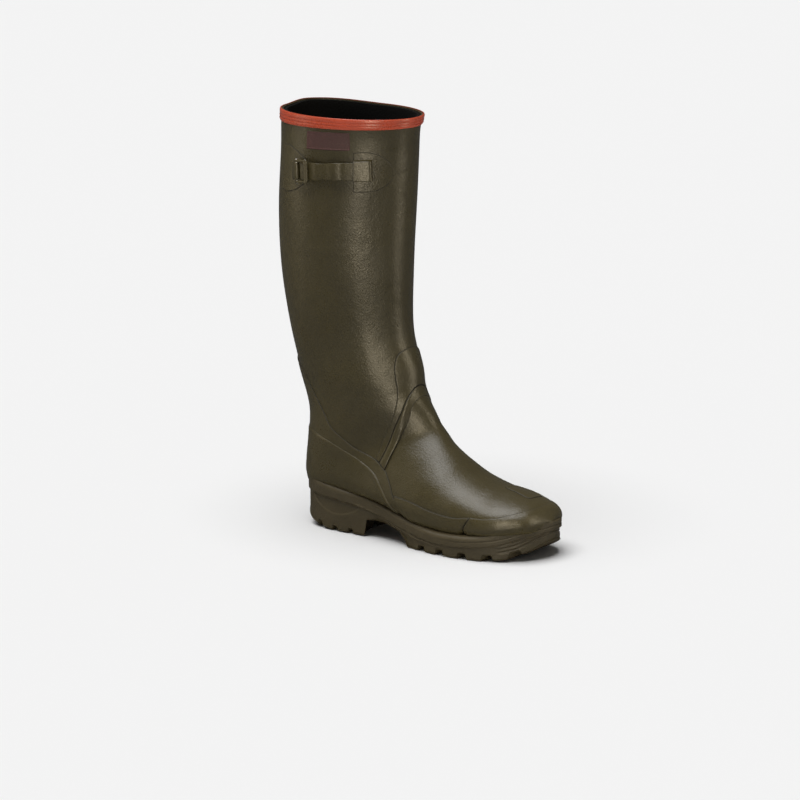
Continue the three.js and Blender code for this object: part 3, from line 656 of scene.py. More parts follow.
RIM_HEIGHT, RIM_EDGE = 11.5, 5.0  # the sole's proud upper rim
WALL_STEP = 1.6  # how far the wall under the rim stands back
RIM_GROOVE = 0.5
LEAF_START, LEAF_LENGTH, LEAF_HEIGHT, LEAF_DEPTH = 26, 66, 16, 1.4  # sunk leaf in the side of the heel
RIDGE_LINE = [[84, 33], [110, 27.5], [140, 19], [165, 12], [200, 9], [240, 8]]
RIDGE_HEIGHT, RIDGE_HOLLOW = 0.9, 1.6  # ridge along the waist and the hollow under it
KNURL_PITCH, KNURL_DEPTH = 3.7, 0.85  # ribs of the toe bumper
BREAST_HOLLOW = 14
LUG_DEPTH = 5.5
HEEL_LUG_DEPTH = 4.5
CAVITY_INSET = 8.7  # from the outline to the room for the midsole
STATIONS = 560  # corners along each side of the sole
WALL_ROWS = 48
UPPER_OUT = 1.8  # the reinforcements' outside, which the sole's upper edge hugs
FOREFOOT_GROOVES = [(182, 0.2), (206, 0.2), (232, 0.2), (257, 0.2), (278, 0.05)]
HEEL_GROOVES = (40, 60, 80)


def sole_sides():
    """The outer and the inner side of the plan, each from the heel tip to the toe tip."""
    closed = np.array(SOLE_PLAN + SOLE_PLAN[:4], dtype=float)
    curve = catmull(closed, np.linspace(1, len(SOLE_PLAN) + 1, 4000))
    curve = np.roll(curve[:-1], -int(np.argmin(curve[:, 0])), axis=0)
    toe = int(np.argmax(curve[:, 0]))
    return curve[: toe + 1], np.vstack([curve[toe:], curve[:1]])[::-1]


def side_points(curve, outward_sign):
    """Points along one side that are closer together at its tips, with their outward directions."""
    low, high = curve[0, 0], curve[-1, 0]
    length = np.concatenate([[0], np.cumsum(np.hypot(*np.diff(curve, axis=0).T))])
    ease = (1 - np.cos(np.linspace(0, math.pi, STATIONS))) / 2
    along_x = np.interp(low + (high - low) * ease, np.maximum.accumulate(curve[:, 0]), length)
    place = (along_x + length[-1] * np.linspace(0, 1, STATIONS)) / 2

    def at(places):
        return np.column_stack([np.interp(places, length, curve[:, k]) for k in range(2)])

    travel = at(place + 2) - at(place - 2)
    outward = np.column_stack([travel[:, 1], -travel[:, 0]]) * outward_sign
    return at(place), outward / np.linalg.norm(outward, axis=1)[:, None]


def tread(x, y):
    """Height of the grooves between the lugs above the tread."""
    height = np.zeros_like(x)
    for groove, lean in FOREFOOT_GROOVES:
        across = np.abs((x - groove) * math.cos(lean) + (np.abs(y) - 32) * math.sin(lean))
        height = np.maximum(height, LUG_DEPTH * (1 - smoothstep(3.2, 5.6, across)))
    middle = smoothstep(160, 163, x) * (1 - smoothstep(270, 273, x))
    middle = middle * (1 - smoothstep(3.2, 4.8, np.abs(y - 2)))
    height = np.maximum(height, LUG_DEPTH * middle)
    for groove in HEEL_GROOVES:
        height = np.maximum(height, HEEL_LUG_DEPTH * (1 - smoothstep(1.7, 4.0, np.abs(x - groove))))
    heel = (x < 98) * (x > 14) * (1 - smoothstep(2.8, 4.4, np.abs(y)))
    height = np.maximum(height, HEEL_LUG_DEPTH * heel)
    return np.where((breast_shifted(x, y) > 100) & (x < 157), 0, height)


def breast_shifted(x, y):
    """The heel's breast is hollow: behind its middle the side view runs ahead of the true x."""
    hollow = BREAST_HOLLOW * np.clip(1 - (y / 38) ** 2, 0, 1)
    return x + hollow * smoothstep(60, 84, x) * (1 - smoothstep(112, 140, x))


def underside(x, y, inset):
    """Height of the tread, with the lugs rounded off towards the outline."""
    heel = 1 - smoothstep(96, 110, x)
    back = 1 - smoothstep(12, 62, x)
    amount = 1.2 + (1.4 + 7.0 * back) * heel
    lift = amount * np.clip(1 - inset / (6 + 7 * back), 0, 1) ** 2
    return height_on(SOLE_BOTTOM, breast_shifted(x, y)) + tread(x, y) + lift


def wall_inset(x, z, top, gap):
    """How far the side wall of the sole stands back from its outline."""
    drop = top - z
    rim = RIM_HEIGHT + 2.0 * (1 - smoothstep(20, 90, x)) - 2.0 * smoothstep(262, 285, x)
    inset = gap * (1 - rounding(drop, RIM_EDGE)) + WALL_STEP * smoothstep(rim - 0.5, rim + 1.0, drop)
    inset += RIM_GROOVE * np.exp(-(((drop - 0.55 * rim) / 0.5) ** 2)) * smoothstep(195, 225, x)
    leaf_top = top - rim - 0.8
    belly = np.sin(np.pi * np.clip((x - LEAF_START) / LEAF_LENGTH, 0, 1)) ** 0.7
    leaf_low = np.maximum(leaf_top - LEAF_HEIGHT * belly, 8)
    leaf = smoothstep(0, 1.6, leaf_top - z) * smoothstep(0, 1.6, z - leaf_low) * (belly > 0.02)
    inset += LEAF_DEPTH * leaf * (1 - 0.5 * smoothstep(0, 15, leaf_top - z))
    above = z - height_on(RIDGE_LINE, x)
    ridge = np.exp(-((above / 1.1) ** 2)) * smoothstep(84, 94, x) * (1 - smoothstep(185, 215, x))
    under = smoothstep(1.0, 7.0, -above) * smoothstep(95, 125, x) * (1 - smoothstep(150, 175, x))
    inset += RIDGE_HOLLOW * under - RIDGE_HEIGHT * ridge
    low = height_on(SOLE_BOTTOM, x) + 6.5
    bumper = smoothstep(262, 272, x) * smoothstep(0, 1.0, z - low) * smoothstep(rim - 0.2, rim + 1.0, drop)
    knurl = 0.5 - 0.5 * np.cos(2 * np.pi * (z - low) / KNURL_PITCH)
    return inset + bumper * (0.3 + KNURL_DEPTH * knurl)


def sole_wall(points, outward, top, gap):
    """Rows of corners down one side of the sole, from its upper edge to its tread."""
    x0 = points[:, 0]
    last_inset = 1.1
    end_xy = points - outward * last_inset
    end = underside(end_xy[:, 0], end_xy[:, 1], last_inset)
    rows = [(gap + 0.15, top), (gap * 0.93, top - 0.12)]
    for t in np.linspace(0, 1, WALL_ROWS):
        z = top - 0.7 + (end + 1.0 - (top - 0.7)) * t
        rows.append((wall_inset(x0, z, top, gap), z))
    rows.append((np.maximum(rows[-1][0] + 0.25, 0.35), end + 0.3))
    rows = [np.column_stack([points - outward * inset[:, None], z]) for inset, z in rows]
    return rows + [np.column_stack([end_xy, end])]


def ladder(outer, inner, insets, middle):
    """Rows of plan points from the outer side across to the inner side, with their insets."""
    (a, a_out), (b, b_out) = outer, inner
    rows = [(a - a_out * d[:, None], d) for d, _ in insets]
    start, end = rows[-1][0], b - b_out * insets[-1][1][:, None]
    half = np.linalg.norm(end - start, axis=1) / 2
    for t in np.linspace(0, 1, middle + 2)[1:-1]:
        rows.append((start + (end - start) * t, insets[-1][0] + 2 * half * min(t, 1 - t)))
    return rows + [(b - b_out * d[:, None], d) for _, d in reversed(insets)]


def joined(rows):
    """Faces between neighbouring rows of equally many corners."""
    count = len(rows[0])
    a = (np.arange(len(rows) - 1)[:, None] * count + np.arange(count - 1)).ravel()
    return np.column_stack([a, a + 1, a + 1 + count, a + count])


def upper_tree():
    """The outside of the upper, for finding where the sole meets it."""
    params, faces = welded(*grid(stations(6, TOE_END, 3.0), turns(144)))
    return BVHTree.FromPolygons(surface(params, UPPER_OUT).tolist(), faces.tolist())


def ledge(tree, points, outward, top):
    """Room between the outline of the sole and the upper, at the sole's upper edge."""
    away, lowest, side = 10, 0.2, 4
    gaps = []
    for (x, y), (out_x, out_y), z in zip(points.tolist(), outward.tolist(), top.tolist()):
        start = Vector((x + away * out_x, y + away * out_y, z - 0.8))
        hit = tree.ray_cast(start, Vector((-out_x, -out_y, 0)))
        gaps.append(min(max(hit[3] - away - 0.7, lowest), CAVITY_INSET - 1.5) if hit[0] else 2.0)
    gaps = np.maximum(np.array(gaps) - (TOE_FILL - 0.5) * forefoot(points[:, 0]), lowest)
    window = np.ones(2 * side + 1) / (2 * side + 1)
    return np.convolve(np.pad(gaps, side, mode="edge"), window, mode="valid")


def cup_height(tree, xy, top):
    """Height of the sole's upper side: flat at the rim, then down along the upper."""
    heights = []
    for (x, y), high in zip(xy.tolist(), top.tolist()):
        hit = tree.ray_cast(Vector((x, y, -20)), Vector((0, 0, 1)))[0]
        heights.append(min(high, hit.z - 0.3) if hit else high)
    return np.array(heights)


def make_sole():
    """Outsole as one closed mesh: both walls, the tread, and the upper side with its cavities."""
    sides = [side_points(curve, sign) for curve, sign in zip(sole_sides(), (1, -1))]
    for k in (0, -1):
        shared = sides[0][1][k] + sides[1][1][k]
        sides[0][1][k] = sides[1][1][k] = shared / np.linalg.norm(shared)
    tree = upper_tree()
    top_line = smooth_line(SOLE_TOP)
    tops = [height_on(top_line, points[:, 0]) for points, _ in sides]
    gaps = [ledge(tree, points, outward, top) for (points, outward), top in zip(sides, tops)]
    for k in (0, -1):
        gaps[0][k] = gaps[1][k] = (gaps[0][k] + gaps[1][k]) / 2
    sheets = [sole_wall(*side, top, gap) for side, top, gap in zip(sides, tops, gaps)]
    full = np.ones(STATIONS)
    under = ladder(*sides, [(d * full, d * full) for d in (1.1, 1.7, 2.6, 3.8, 5.2, 7.0)], 34)
    sheets.append([np.column_stack([xy, underside(xy[:, 0], xy[:, 1], inset)]) for xy, inset in under])
    steps = []
    for t in (0, 0.12, 0.27, 0.45, 0.7, 1.0):
        steps.append([gap + 0.1 + (CAVITY_INSET - gap - 0.1) * t for gap in gaps])
    steps.append([full * (CAVITY_INSET + 0.3)] * 2)
    rows = []
    for xy, inset in ladder(*sides, steps, 14):
        z = cup_height(tree, xy, height_on(top_line, xy[:, 0]))
        cavity = height_on(MIDSOLE_BOTTOM, xy[:, 0]) - GAP
        core = (np.abs(xy - HEEL_CORE_MIDDLE) < HEEL_CORE_HALF + GAP).all(axis=1)
        cavity = np.where(core, HEEL_CORE_CORNER[2] - GAP, cavity)
        z = np.where(inset > CAVITY_INSET + 0.05, np.minimum(cavity, z), z)
        rows.append(np.column_stack([xy, z]))
    rows[0][:, 2] = sheets[0][0][:, 2]
    rows[-1][:, 2] = sheets[1][0][:, 2]
    sheets.append(rows)
    points, faces, base = [], [], 0
    for rows in sheets:
        faces.append(joined(rows) + base)
        points += rows
        base += len(rows) * len(rows[0])
    points = np.vstack(points)
    sole = add_object("outsole_cleated", points, np.vstack(faces).tolist())
    finish_mesh(sole, sharp=42)
    return {"outsole": sole}


# ---------------------------------------------------------------- adjuster strap and buckle

STRAP_CENTRE = np.array([51.5, 35.5, 371.5])
STRAP_RADIUS = 93.0
STRAP_TILT = math.radians(4.5)
WALL_LEAN = math.radians(3)
STRAP_HEIGHT = 17.6
STRAP_THICKNESS = 1.7
STRAP_STANDOFF = 2.1
STRAP_WAVE, STRAP_CROWN = 0.7, 0.12
STRAP_FROM, STRAP_TO = -10.0, 31.5  # degrees round the strap's axis, as the next two
SLOT_TO = 36.4  # front end of the room inside the tunnel
TUNNEL_TO = 38.5
TUNNEL_HALF, SLOT_HALF = 10.8, 9.32  # half heights of the tunnel and of the room inside it
TUNNEL_LIFT = 3.5  # distance out from the leg at which those half heights hold
BUCKLE_AT = math.radians(-7.2)
BAR_BACK, BAR_LIFT, BAR_RADIUS = -8.0, 4.3, 1.1
FRAME_HALF, FRAME_FRONT, FRAME_BAR, FRAME_ARM = 11.8, 8.5, 5.0, 2.4
FRAME_LIFT, FRAME_THICKNESS = 5.7, 2.4
STRAP_AXES = np.array((Matrix.Rotation(-STRAP_TILT, 3, "Y") @ Matrix.Rotation(-WALL_LEAN, 3, "X")))


def on_leg(local):
    """Points of the strap's own frame, whose axis is the cylinder's, in the boot's axes."""
    return local @ STRAP_AXES.T + STRAP_CENTRE


def strap_frame(points):
    """Radius, angle in degrees from the outer side, and height of points in the strap's frame."""
    local = (points - STRAP_CENTRE) @ STRAP_AXES
    angle = np.degrees(np.arctan2(local[:, 0], -local[:, 1]))
    return np.hypot(local[:, 0], local[:, 1]), angle, local[:, 2]


def buckle_point(s, lift, height):
    """A point of the buckle: s forward along the strap, lift from the rubber, height along the bar."""
    radius = STRAP_RADIUS + lift
    x, y = s * math.cos(BUCKLE_AT), s * math.sin(BUCKLE_AT)
    out_x, out_y = math.sin(BUCKLE_AT), -math.cos(BUCKLE_AT)
    return [x + radius * out_x, y + radius * out_y, height]


def capsule(width, height, radius):
    """Rounded rectangle about the origin."""
    return np.array(rounded_rectangle(-width / 2, width / 2, -height / 2, height / 2, radius, 4))


def tube_from_rings(name, rings):
    """Closed mesh through rings of equally many corners, with a cap at both ends."""
    count = len(rings[0])
    points = np.vstack(rings + [rings[0].mean(axis=0)[None], rings[-1].mean(axis=0)[None]])
    faces = ring_faces(len(rings), count)
    first, last = len(points) - 2, len(points) - 1
    base = (len(rings) - 1) * count
    faces += [[(k + 1) % count, k, first] for k in range(count)]
    faces += [[base + k, base + (k + 1) % count, last] for k in range(count)]
    obj = add_object(name, on_leg(points), faces)
    finish_mesh(obj, sharp=55)
    return obj


def make_strap():
    """Flat rubber strap on the leg's curve, a little wavy between the buckle and the tunnel."""
    rings = []
    section = capsule(STRAP_THICKNESS, STRAP_HEIGHT, 0.7)
    places = [(STRAP_FROM, 0.5), (STRAP_FROM + 0.08, 0.8), (STRAP_FROM + 0.3, 1.0)]
    places += [(t, 1.0) for t in np.linspace(STRAP_FROM + 0.6, STRAP_TO - 0.6, 120)]
    places += [(STRAP_TO - 0.3, 1.0), (STRAP_TO - 0.08, 0.8), (STRAP_TO, 0.5)]
    for degrees, size in places:
        free = float(smoothstep(-1, 5, degrees) * (1 - smoothstep(17, 22, degrees)))
        wave = STRAP_WAVE * free * math.sin((degrees + 2) * 0.46)
        pinch = 1 - 0.04 * free * (1 + math.sin((degrees - 3) * 0.36))
        lift = STRAP_RADIUS + STRAP_STANDOFF + STRAP_THICKNESS / 2 + wave
        angle = math.radians(degrees)
        radial = np.array([math.sin(angle), -math.cos(angle)])
        ring = []
        for across, height in section * [size, 1 - (1 - size) * 0.06]:
            crown = STRAP_CROWN * (1 - (2 * height / STRAP_HEIGHT) ** 2) * np.sign(across)
            ring.append([*(radial * (lift + across + max(crown, 0))), height * pinch])
        rings.append(np.array(ring))
    return {"strap": tube_from_rings("adjuster_strap", rings)}


def make_buckle_frame():
    """Rounded frame: a broad front bar over the strap, and two arms back to the hinge bar."""
    arm, bar = FRAME_HALF - FRAME_ARM / 2, FRAME_FRONT - FRAME_BAR / 2
    radius = 2.6
    path = [(BAR_BACK - 1.9, -arm), (BAR_BACK - 1.2, -arm), (BAR_BACK, -arm), (BAR_BACK + 3, -arm)]
    path += [(s, -arm) for s in np.linspace(-3, bar - radius, 5)]
    for k in range(1, 7):
        angle = math.pi / 2 * k / 6
        path.append((bar - radius + radius * math.sin(angle), -arm + radius * (1 - math.cos(angle))))
    path += [(bar, h) for h in np.linspace(-arm + radius, 0, 6)[1:]]
    path += [(s, -h) for s, h in reversed(path[:-1])]
    path = np.array(path)
    travel = np.gradient(path, axis=0)
    travel /= np.linalg.norm(travel, axis=1)[:, None]
    rings = []
    for i, ((s, h), (ds, dh)) in enumerate(zip(path, travel)):
        front = float(smoothstep(bar - radius - 1.5, bar, s))
        width = FRAME_ARM + (FRAME_BAR - FRAME_ARM) * front
        back = float(1 - smoothstep(BAR_BACK, BAR_BACK + 8, s))
        thick = FRAME_THICKNESS + 1.5 * back
        lift = FRAME_LIFT + (BAR_LIFT - FRAME_LIFT) * (1 - smoothstep(BAR_BACK, bar, s))
        end = 0.55 if i in (0, len(path) - 1) else 0.85 if i in (1, len(path) - 2) else 1.0
        ring = []
        for across, out in capsule(width, thick, 1.0) * [1, end]:
            ring.append(buckle_point(s + across * dh, lift + out, h - across * ds))
        rings.append(np.array(ring))
    return {"buckle_frame": tube_from_rings("buckle_frame_coated", rings)}


def along_bar(name, outline, half, ends):
    """Solid of one outline along the hinge bar, whose ends are [inset, size] from the tip inwards."""
    outline = np.array(outline)
    centre = outline.mean(axis=0)
    layers = [(inset - half, size) for inset, size in ends] + [(0, 1)]
    layers += [(half - inset, size) for inset, size in reversed(ends)]
    rings = []
    for height, size in layers:
        shrunk = centre + (outline - centre) * size
        rings.append(np.array([buckle_point(s, lift, height) for s, lift in shrunk]))
    return tube_from_rings(name, rings)


def bar_circle(radius, start, sweep, count):
    """Points round the hinge bar, as distance along the strap and lift, for angles in degrees."""
    angles = [math.radians(start + sweep * k / count) for k in range(count)]
    return [(BAR_BACK + radius * math.cos(a), BAR_LIFT + radius * math.sin(a)) for a in angles]


def make_buckle_bar():
    ends = [(0, 0.55 / BAR_RADIUS), (0.15, 0.9 / BAR_RADIUS), (0.5, 1)]
    outline = bar_circle(BAR_RADIUS, 0, 360, 32)
    return {"buckle_bar": along_bar("buckle_hinge_bar", outline, FRAME_HALF + 0.8, ends)}


def make_chape():
    """Rubber loop round the hinge bar, running back onto the patch."""
    around = bar_circle(BAR_RADIUS + GAP + 1, 115, -205 * 15 / 14, 15)
    outline = [(BAR_BACK - 9, 0.9), (BAR_BACK - 9, 2.2)] + around + [(BAR_BACK - 4, 1.2)]
    ends = [(0, 0.86), (0.2, 0.95), (0.6, 1)]
    return {"buckle_chape": along_bar("buckle_chape_loop", outline, FRAME_HALF - FRAME_ARM - 0.8, ends)}


def make_patches():
    """The flat patch under the buckle, and the D-shaped patch with the tunnel over the strap's root."""
    rear = [[3, 352], [3, 398], [15, 399], [27, 394.5], [35, 390], [41, 385.5], [46, 379],
            [46, 371], [41, 365], [35, 360], [27, 355], [13, 351]]
    angles = turns(300, 0.3, math.pi - 0.05)
    buckle_patch = overlay_piece(
        "buckle_patch_leaf", outline_field(rear), stations(0.8, 3, 1.4), angles, 0.75, 0.8)
    arc = [[92, 357.5], [92, 397.5]]
    nose = np.linspace(math.pi / 2, -math.pi / 2, 22)
    arc += [[101 + 21.5 * math.cos(a) ** 0.9, 378 + 20.5 * math.sin(a)] for a in nose[:-1]] + [[101, 357.5]]
    outline = outline_field(arc)

    def across(params):
        return -np.abs(strap_frame(surface(params, TUNNEL_LIFT))[2])

    def along(params):
        return strap_frame(surface(params, 0))[1]

    params, faces = grid(stations(0.9, 3, 1.1), np.linspace(0.4, 1.35, 110))
    for level in (0, 0.04, 0.16, 0.4, 0.9):
        params, faces = cut(params, faces, outline, level)
    for level in (-9.25, -9.4, -9.7, -10.2, -10.6, -TUNNEL_HALF):
        params, faces = cut(params, faces, across, level)
    for level in (36.3, 36.5, 37.0, 37.6, 38.1, TUNNEL_TO):
        params, faces = cut(params, faces, along, level)
    params, faces = welded(params, keep(params, faces, outline))
    distance = np.maximum(outline(params), 0)
    radius, degrees, _ = strap_frame(surface(params, 0))
    height = -across(params)
    patch = (0.6 + SUNK) * rounding(distance, 0.9)
    over_strap = STRAP_RADIUS + STRAP_STANDOFF + STRAP_THICKNESS - radius
    shape = rounding(TUNNEL_HALF - height, 1.6) * rounding(TUNNEL_TO - degrees, 3.0)
    outer = -SUNK + np.maximum(patch, (over_strap + 1.4) * shape)
    slot = (height < SLOT_HALF) & (degrees < SLOT_TO)
    inner = np.where(slot, over_strap + 0.35, -2 * SUNK)
    # The distance from the outline is also the edge attribute, by which the rubber material paints shade
    # along the patch's edge.
    tunnel = wall_piece("strap_patch_tunnel", params, faces, outer, inner, distance)
    return {"buckle_patch": buckle_patch, "strap_patch": tunnel}


# ---------------------------------------------------------------- materials


class Nodes:
    """A material's node tree with short ways to add to it."""

    def __init__(self, name):
        self.material = bpy.data.materials.new(name)
        self.material.use_nodes = True
        self.tree = self.material.node_tree
        self.shader = self.tree.nodes["Principled BSDF"]
        self.place = self.add("ShaderNodeTexCoord").outputs["Object"]

    def add(self, kind, **settings):
        node = self.tree.nodes.new(kind)
        for key, value in settings.items():
            setattr(node, key, value)
        return node

    def feed(self, node, **values):
        """Sets sockets to numbers or colours, or links them; a name's _ stands for a space."""
        for key, value in values.items():
            socket = node.inputs[key.replace("_", " ")]
            if isinstance(value, bpy.types.NodeSocket):
                self.tree.links.new(value, socket)
            else:
                socket.default_value = value

    def noise(self, scale, detail=2.0, rough=0.5):
        node = self.add("ShaderNodeTexNoise")
        self.feed(node, Scale=scale, Detail=detail, Roughness=rough, Vector=self.place)
        return node.outputs["Fac"]

    def cells(self, scale):
        node = self.add("ShaderNodeTexVoronoi", feature="F1")
        self.feed(node, Scale=scale, Vector=self.place)
        return node.outputs["Distance"]

    def ranged(self, source, low, high, to_low, to_high):
        node = self.add("ShaderNodeMapRange")
        self.feed(node, Value=source, From_Min=low, From_Max=high, To_Min=to_low, To_Max=to_high)
        return node.outputs["Result"]

    def math(self, operation, a, b):
        node = self.add("ShaderNodeMath", operation=operation)
        for value, socket in ((a, node.inputs[0]), (b, node.inputs[1])):
            if isinstance(value, bpy.types.NodeSocket):
                self.tree.links.new(value, socket)
            else:
                socket.default_value = value
        return node.outputs[0]

    def mixed(self, factor, a, b):
        """Colour a where factor is 0 and b where it is 1."""
        node = self.add("ShaderNodeMix", data_type="RGBA")
        self.feed(node, Factor=factor)
        for value, socket in ((a, node.inputs[6]), (b, node.inputs[7])):
            if isinstance(value, tuple):
                socket.default_value = (*value, 1)
            else:
                self.tree.links.new(value, socket)
        return node.outputs[2]

    def bump(self, height, distance, strength=1.0, below=None):
        node = self.add("ShaderNodeBump")
        self.feed(node, Height=height, Distance=distance, Strength=strength)
        if below:
            self.feed(node, Normal=below)
        return node.outputs["Normal"]

    def edge(self):
        return self.add("ShaderNodeAttribute", attribute_name="edge").outputs["Fac"]

    def finish(self, **values):
        self.feed(self.shader, **values)
        return self.material


def tinted(colour, factor):
    return tuple(c * factor for c in colour)


def rubber(name, colour, roughness, grain=1.0, specular=0.5):
    """Moulded rubber: mottled tone, fine grain, uneven sheen, and painted shade: a darker line in the foot
    of an edge.
    """
    n = Nodes(name)
    broad = n.ranged(n.noise(11, 3), 0.3, 0.7, 0, 1)
    mottled = n.ranged(n.noise(95, 4, 0.6), 0.35, 0.65, 0, 1)
    tone = n.mixed(broad, tinted(colour, 0.9), tinted(colour, 1.12))
    tone = n.mixed(n.math("MULTIPLY", mottled, 0.35), tone, tinted(colour, 0.82))
    specks = n.ranged(n.noise(900, 2), 0.62, 0.75, 0, 0.3)
    tone = n.mixed(specks, tone, tinted(colour, 1.7))
    # Painted shade: the colour darkens within about a millimetre of an edge, where the step of an overlay
    # would shade the rubber.
    foot = n.ranged(n.edge(), 0.1, 1.1, 0.92, 0.0)
    tone = n.mixed(foot, tone, tinted(colour, 0.25))
    uneven = n.ranged(n.noise(28, 3), 0.3, 0.7, roughness - 0.05, roughness + 0.05)
    fine = n.ranged(n.noise(700, 2), 0.3, 0.7, -0.05, 0.05)
    dull = n.math("ADD", n.math("ADD", uneven, fine), n.math("MULTIPLY", foot, 0.5))
    hide = n.bump(n.noise(1500, 3, 0.6), 0.00008 * grain)
    hide = n.bump(n.noise(520, 3, 0.6), 0.00028 * grain, below=hide)
    hide = n.bump(n.noise(60, 2), 0.0009 * grain, 0.6, below=hide)
    hide = n.bump(n.noise(13, 1), 0.004, 0.6, below=hide)
    return n.finish(Base_Color=tone, Roughness=dull, Specular_IOR_Level=specular, Normal=hide)


def knit(name, colour):
    """Fine knit of the lining: courses and wales of small loops."""
    n = Nodes(name)
    height = n.cells(620)
    tone = n.mixed(n.ranged(height, 0, 0.6, 0, 1), tinted(colour, 1.6), tinted(colour, 0.5))
    return n.finish(
        Base_Color=tone, Roughness=0.9, Specular_IOR_Level=0.15, Normal=n.bump(height, 0.0003))


def foam(name, colour, cell=500, roughness=0.85):
    """Foam, board or felt: small cells over a slightly blotchy tone."""
    n = Nodes(name)
    tone = n.mixed(n.noise(60), tinted(colour, 0.85), tinted(colour, 1.15))
    dull = n.ranged(n.noise(200), 0.3, 0.7, roughness - 0.06, roughness + 0.06)
    return n.finish(Base_Color=tone, Roughness=dull, Normal=n.bump(n.cells(cell), 0.0003))


def steel(name):
    n = Nodes(name)
    tone = n.mixed(n.noise(80), (0.46, 0.46, 0.47), (0.6, 0.6, 0.61))
    dull = n.ranged(n.noise(300), 0.3, 0.7, 0.28, 0.42)
    return n.finish(Base_Color=tone, Metallic=1.0, Roughness=dull, Normal=n.bump(n.noise(1500), 0.00003))


def woven_label(name, colour):
    """Woven tab: fine cross weave, with a lighter stitched line inside its edge."""
    n = Nodes(name)
    height = None
    for direction in ("X", "Z"):
        wave = n.add("ShaderNodeTexWave", bands_direction=direction)
        n.feed(wave, Scale=420, Distortion=1.0, Vector=n.place)
        height = wave.outputs["Fac"] if height is None else n.math("MULTIPLY", height, wave.outputs["Fac"])
    tone = n.mixed(n.noise(150, 3), tinted(colour, 0.85), tinted(colour, 1.2))
    tone = n.mixed(n.ranged(height, 0, 1, 0, 0.25), tone, tinted(colour, 1.6))
    edge = n.edge()
    inside = n.ranged(edge, 1.2, 1.35, 0, 1)
    outside = n.ranged(edge, 0.85, 1.0, 0, 1)
    line = n.math("MULTIPLY", outside, n.math("SUBTRACT", 1.0, inside))
    tone = n.mixed(n.math("MULTIPLY", line, 0.35), tone, tinted(colour, 2.2))
    dull = n.ranged(n.noise(260), 0.3, 0.7, 0.5, 0.62)
    return n.finish(Base_Color=tone, Roughness=dull, Normal=n.bump(height, 0.00012))


OLIVE = (0.068, 0.0535, 0.0205)
SOLE_BROWN = (0.078, 0.060, 0.0285)
BAND_RED = (0.58, 0.080, 0.032)
LINING_BLACK = (0.003, 0.003, 0.003)
LABEL_MAROON = (0.085, 0.030, 0.026)


def make_materials():
    return {
        "olive_rubber": rubber("olive_rubber_leg", OLIVE, 0.34),
        "overlay_rubber": rubber("olive_rubber_overlay", tinted(OLIVE, 1.04), 0.33),
        "band_rubber": rubber("red_rubber_band", BAND_RED, 0.30, grain=0.4),
        "sole_rubber": rubber("brown_rubber_sole", SOLE_BROWN, 0.46, grain=1.3, specular=0.35),
        "foam_lining": knit("black_knit_lining", LINING_BLACK),
        "label": woven_label("maroon_woven_label", LABEL_MAROON),
        "foam_core": foam("grey_foam_core", (0.09, 0.085, 0.075)),
        "board": foam("tan_fibre_board", (0.32, 0.23, 0.11), cell=900, roughness=0.9),
        "stiffener": foam("white_stiffener", (0.58, 0.55, 0.47), cell=1200, roughness=0.75),
        "steel": steel("bar_steel"),
    }


# ---------------------------------------------------------------- the whole boot

MATERIALS = make_materials()


def dress(pieces, slot, body="boot"):
    """Gives pieces, keyed by the CAD nodes that they replace, their material slot and their body."""
    for node, obj in pieces.items():
        obj.data.materials.clear()
        obj.data.materials.append(MATERIALS[slot])
        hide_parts(node)
        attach(obj, body)


dress(make_shells(), "olive_rubber")
dress(make_linings(), "foam_lining")
dress(make_overlays(), "overlay_rubber")
dress(make_patches(), "overlay_rubber")
dress(make_band(), "band_rubber")
dress(make_label(), "label")
dress(make_sole(), "sole_rubber")
dress(make_strap(), "olive_rubber", "strap")
dress(make_buckle_frame(), "overlay_rubber", "buckle")
dress(make_buckle_bar(), "steel")
dress(make_chape(), "overlay_rubber")

slots = {entry["node"]: entry["material_slot"] for entry in frame["record"]["subparts"]}
for node, obj in frame["nodes"].items():
    obj.data.materials.clear()
    obj.data.materials.append(MATERIALS[slots[node]])

# ---------------------------------------------------------------- studio

FLOOR_RADIUS = 16.0
FLOOR_DROP = 0.0003  # keeps the floor out of the plane of the lugs
CAMERA_AZIMUTH = math.radians(36)
CAMERA_ELEVATION = math.radians(13.18)
CAMERA_DISTANCE = 3.8
FOCAL_LENGTH = 4.656750  # in widths of the picture
SENSOR = 36.0
LOOK_AT = Vector((-0.02165, 0.00301, 0.1388))
PAPER = 0.9  # brightness of the pale surroundings as the camera sees them
AIR = 0.10  # how much the surroundings light the boot from all sides
FLAGS = 0.10  # what glossy surfaces see of the floor instead: the dark flags of a studio
SUN_STRENGTH, SUN_WIDTH = 2.96, math.radians(52)


def seen_by(tree, kind, plain, seen):
    """A value that is seen for rays of one kind, and plain for all others."""
    path = tree.nodes.new("ShaderNodeLightPath")
    mix = tree.nodes.new("ShaderNodeMix")
    mix.inputs[2].default_value = plain
    mix.inputs[3].default_value = seen
    tree.links.new(path.outputs[kind], mix.inputs[0])
    return mix.outputs[0]


def make_floor():
    bpy.ops.mesh.primitive_circle_add(
        vertices=96, radius=FLOOR_RADIUS, fill_type="NGON", location=(0, 0, -FLOOR_DROP))
    floor = bpy.context.object
    floor.name = "studio_floor"
    n = Nodes("studio_floor_paper")
    shade = seen_by(n.tree, "Is Glossy Ray", 0.88, FLAGS)
    floor.data.materials.append(n.finish(Base_Color=shade, Roughness=1.0, Specular_IOR_Level=0.0))


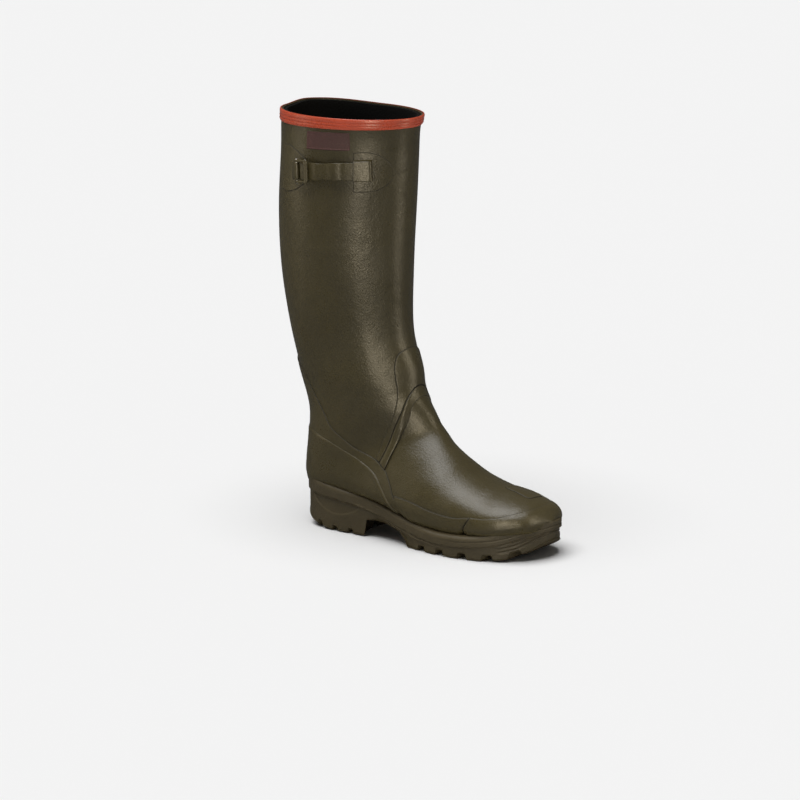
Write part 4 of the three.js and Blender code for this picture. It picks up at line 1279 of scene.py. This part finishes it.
def make_camera():
    back = Vector((math.sin(CAMERA_AZIMUTH) * math.cos(CAMERA_ELEVATION),
                   -math.cos(CAMERA_AZIMUTH) * math.cos(CAMERA_ELEVATION),
                   math.sin(CAMERA_ELEVATION)))
    data = bpy.data.cameras.new("camera")
    data.sensor_width = SENSOR
    data.lens = FOCAL_LENGTH * SENSOR
    data.clip_end = 60
    camera = bpy.data.objects.new("camera", data)
    camera.location = LOOK_AT + back * CAMERA_DISTANCE
    camera.rotation_euler = back.to_track_quat("Z", "Y").to_euler()
    bpy.context.scene.collection.objects.link(camera)
    bpy.context.scene.camera = camera


WARM = (1.0, 0.87, 0.64)
CARD_DISTANCE = 1.5


def add_card(name, azimuth, width, high, radiance):
    """Upright bright card that the rubber's gloss mirrors; azimuth 0 is on the strap side."""
    a = math.radians(azimuth)
    way = Vector((math.sin(a), -math.cos(a), 0))
    data = bpy.data.lights.new(name, "AREA")
    data.shape = "RECTANGLE"
    data.size, data.size_y = width, high
    data.energy = radiance * math.pi * width * high
    data.color = WARM
    card = bpy.data.objects.new(name, data)
    card.location = way * CARD_DISTANCE + Vector((0, 0, high / 2))
    card.rotation_euler = way.to_track_quat("Z", "Y").to_euler()
    card.visible_camera = card.visible_diffuse = False
    bpy.context.scene.collection.objects.link(card)


def make_lights():
    sky = bpy.data.worlds.new("studio_air")
    sky.use_nodes = True
    background = sky.node_tree.nodes["Background"]
    background.inputs["Color"].default_value = (1, 1, 1, 1)
    strength = seen_by(sky.node_tree, "Is Camera Ray", AIR, PAPER)
    sky.node_tree.links.new(strength, background.inputs["Strength"])
    bpy.context.scene.world = sky
    sun = bpy.data.lights.new("overhead_silk", "SUN")
    sun.energy, sun.angle = SUN_STRENGTH, SUN_WIDTH
    lamp = bpy.data.objects.new("overhead_silk", sun)
    lamp.rotation_euler = (math.radians(10), math.radians(-6), 0)
    bpy.context.scene.collection.objects.link(lamp)
    for card in (("front_card", 30, 0.28, 1.25, 13), ("side_card", 104, 0.22, 1.6, 10),
                 ("rear_card", -60, 0.3, 1.4, 2)):
        add_card(*card)


bpy.context.scene.view_settings.view_transform = "Standard"
make_floor()
make_camera()
make_lights()
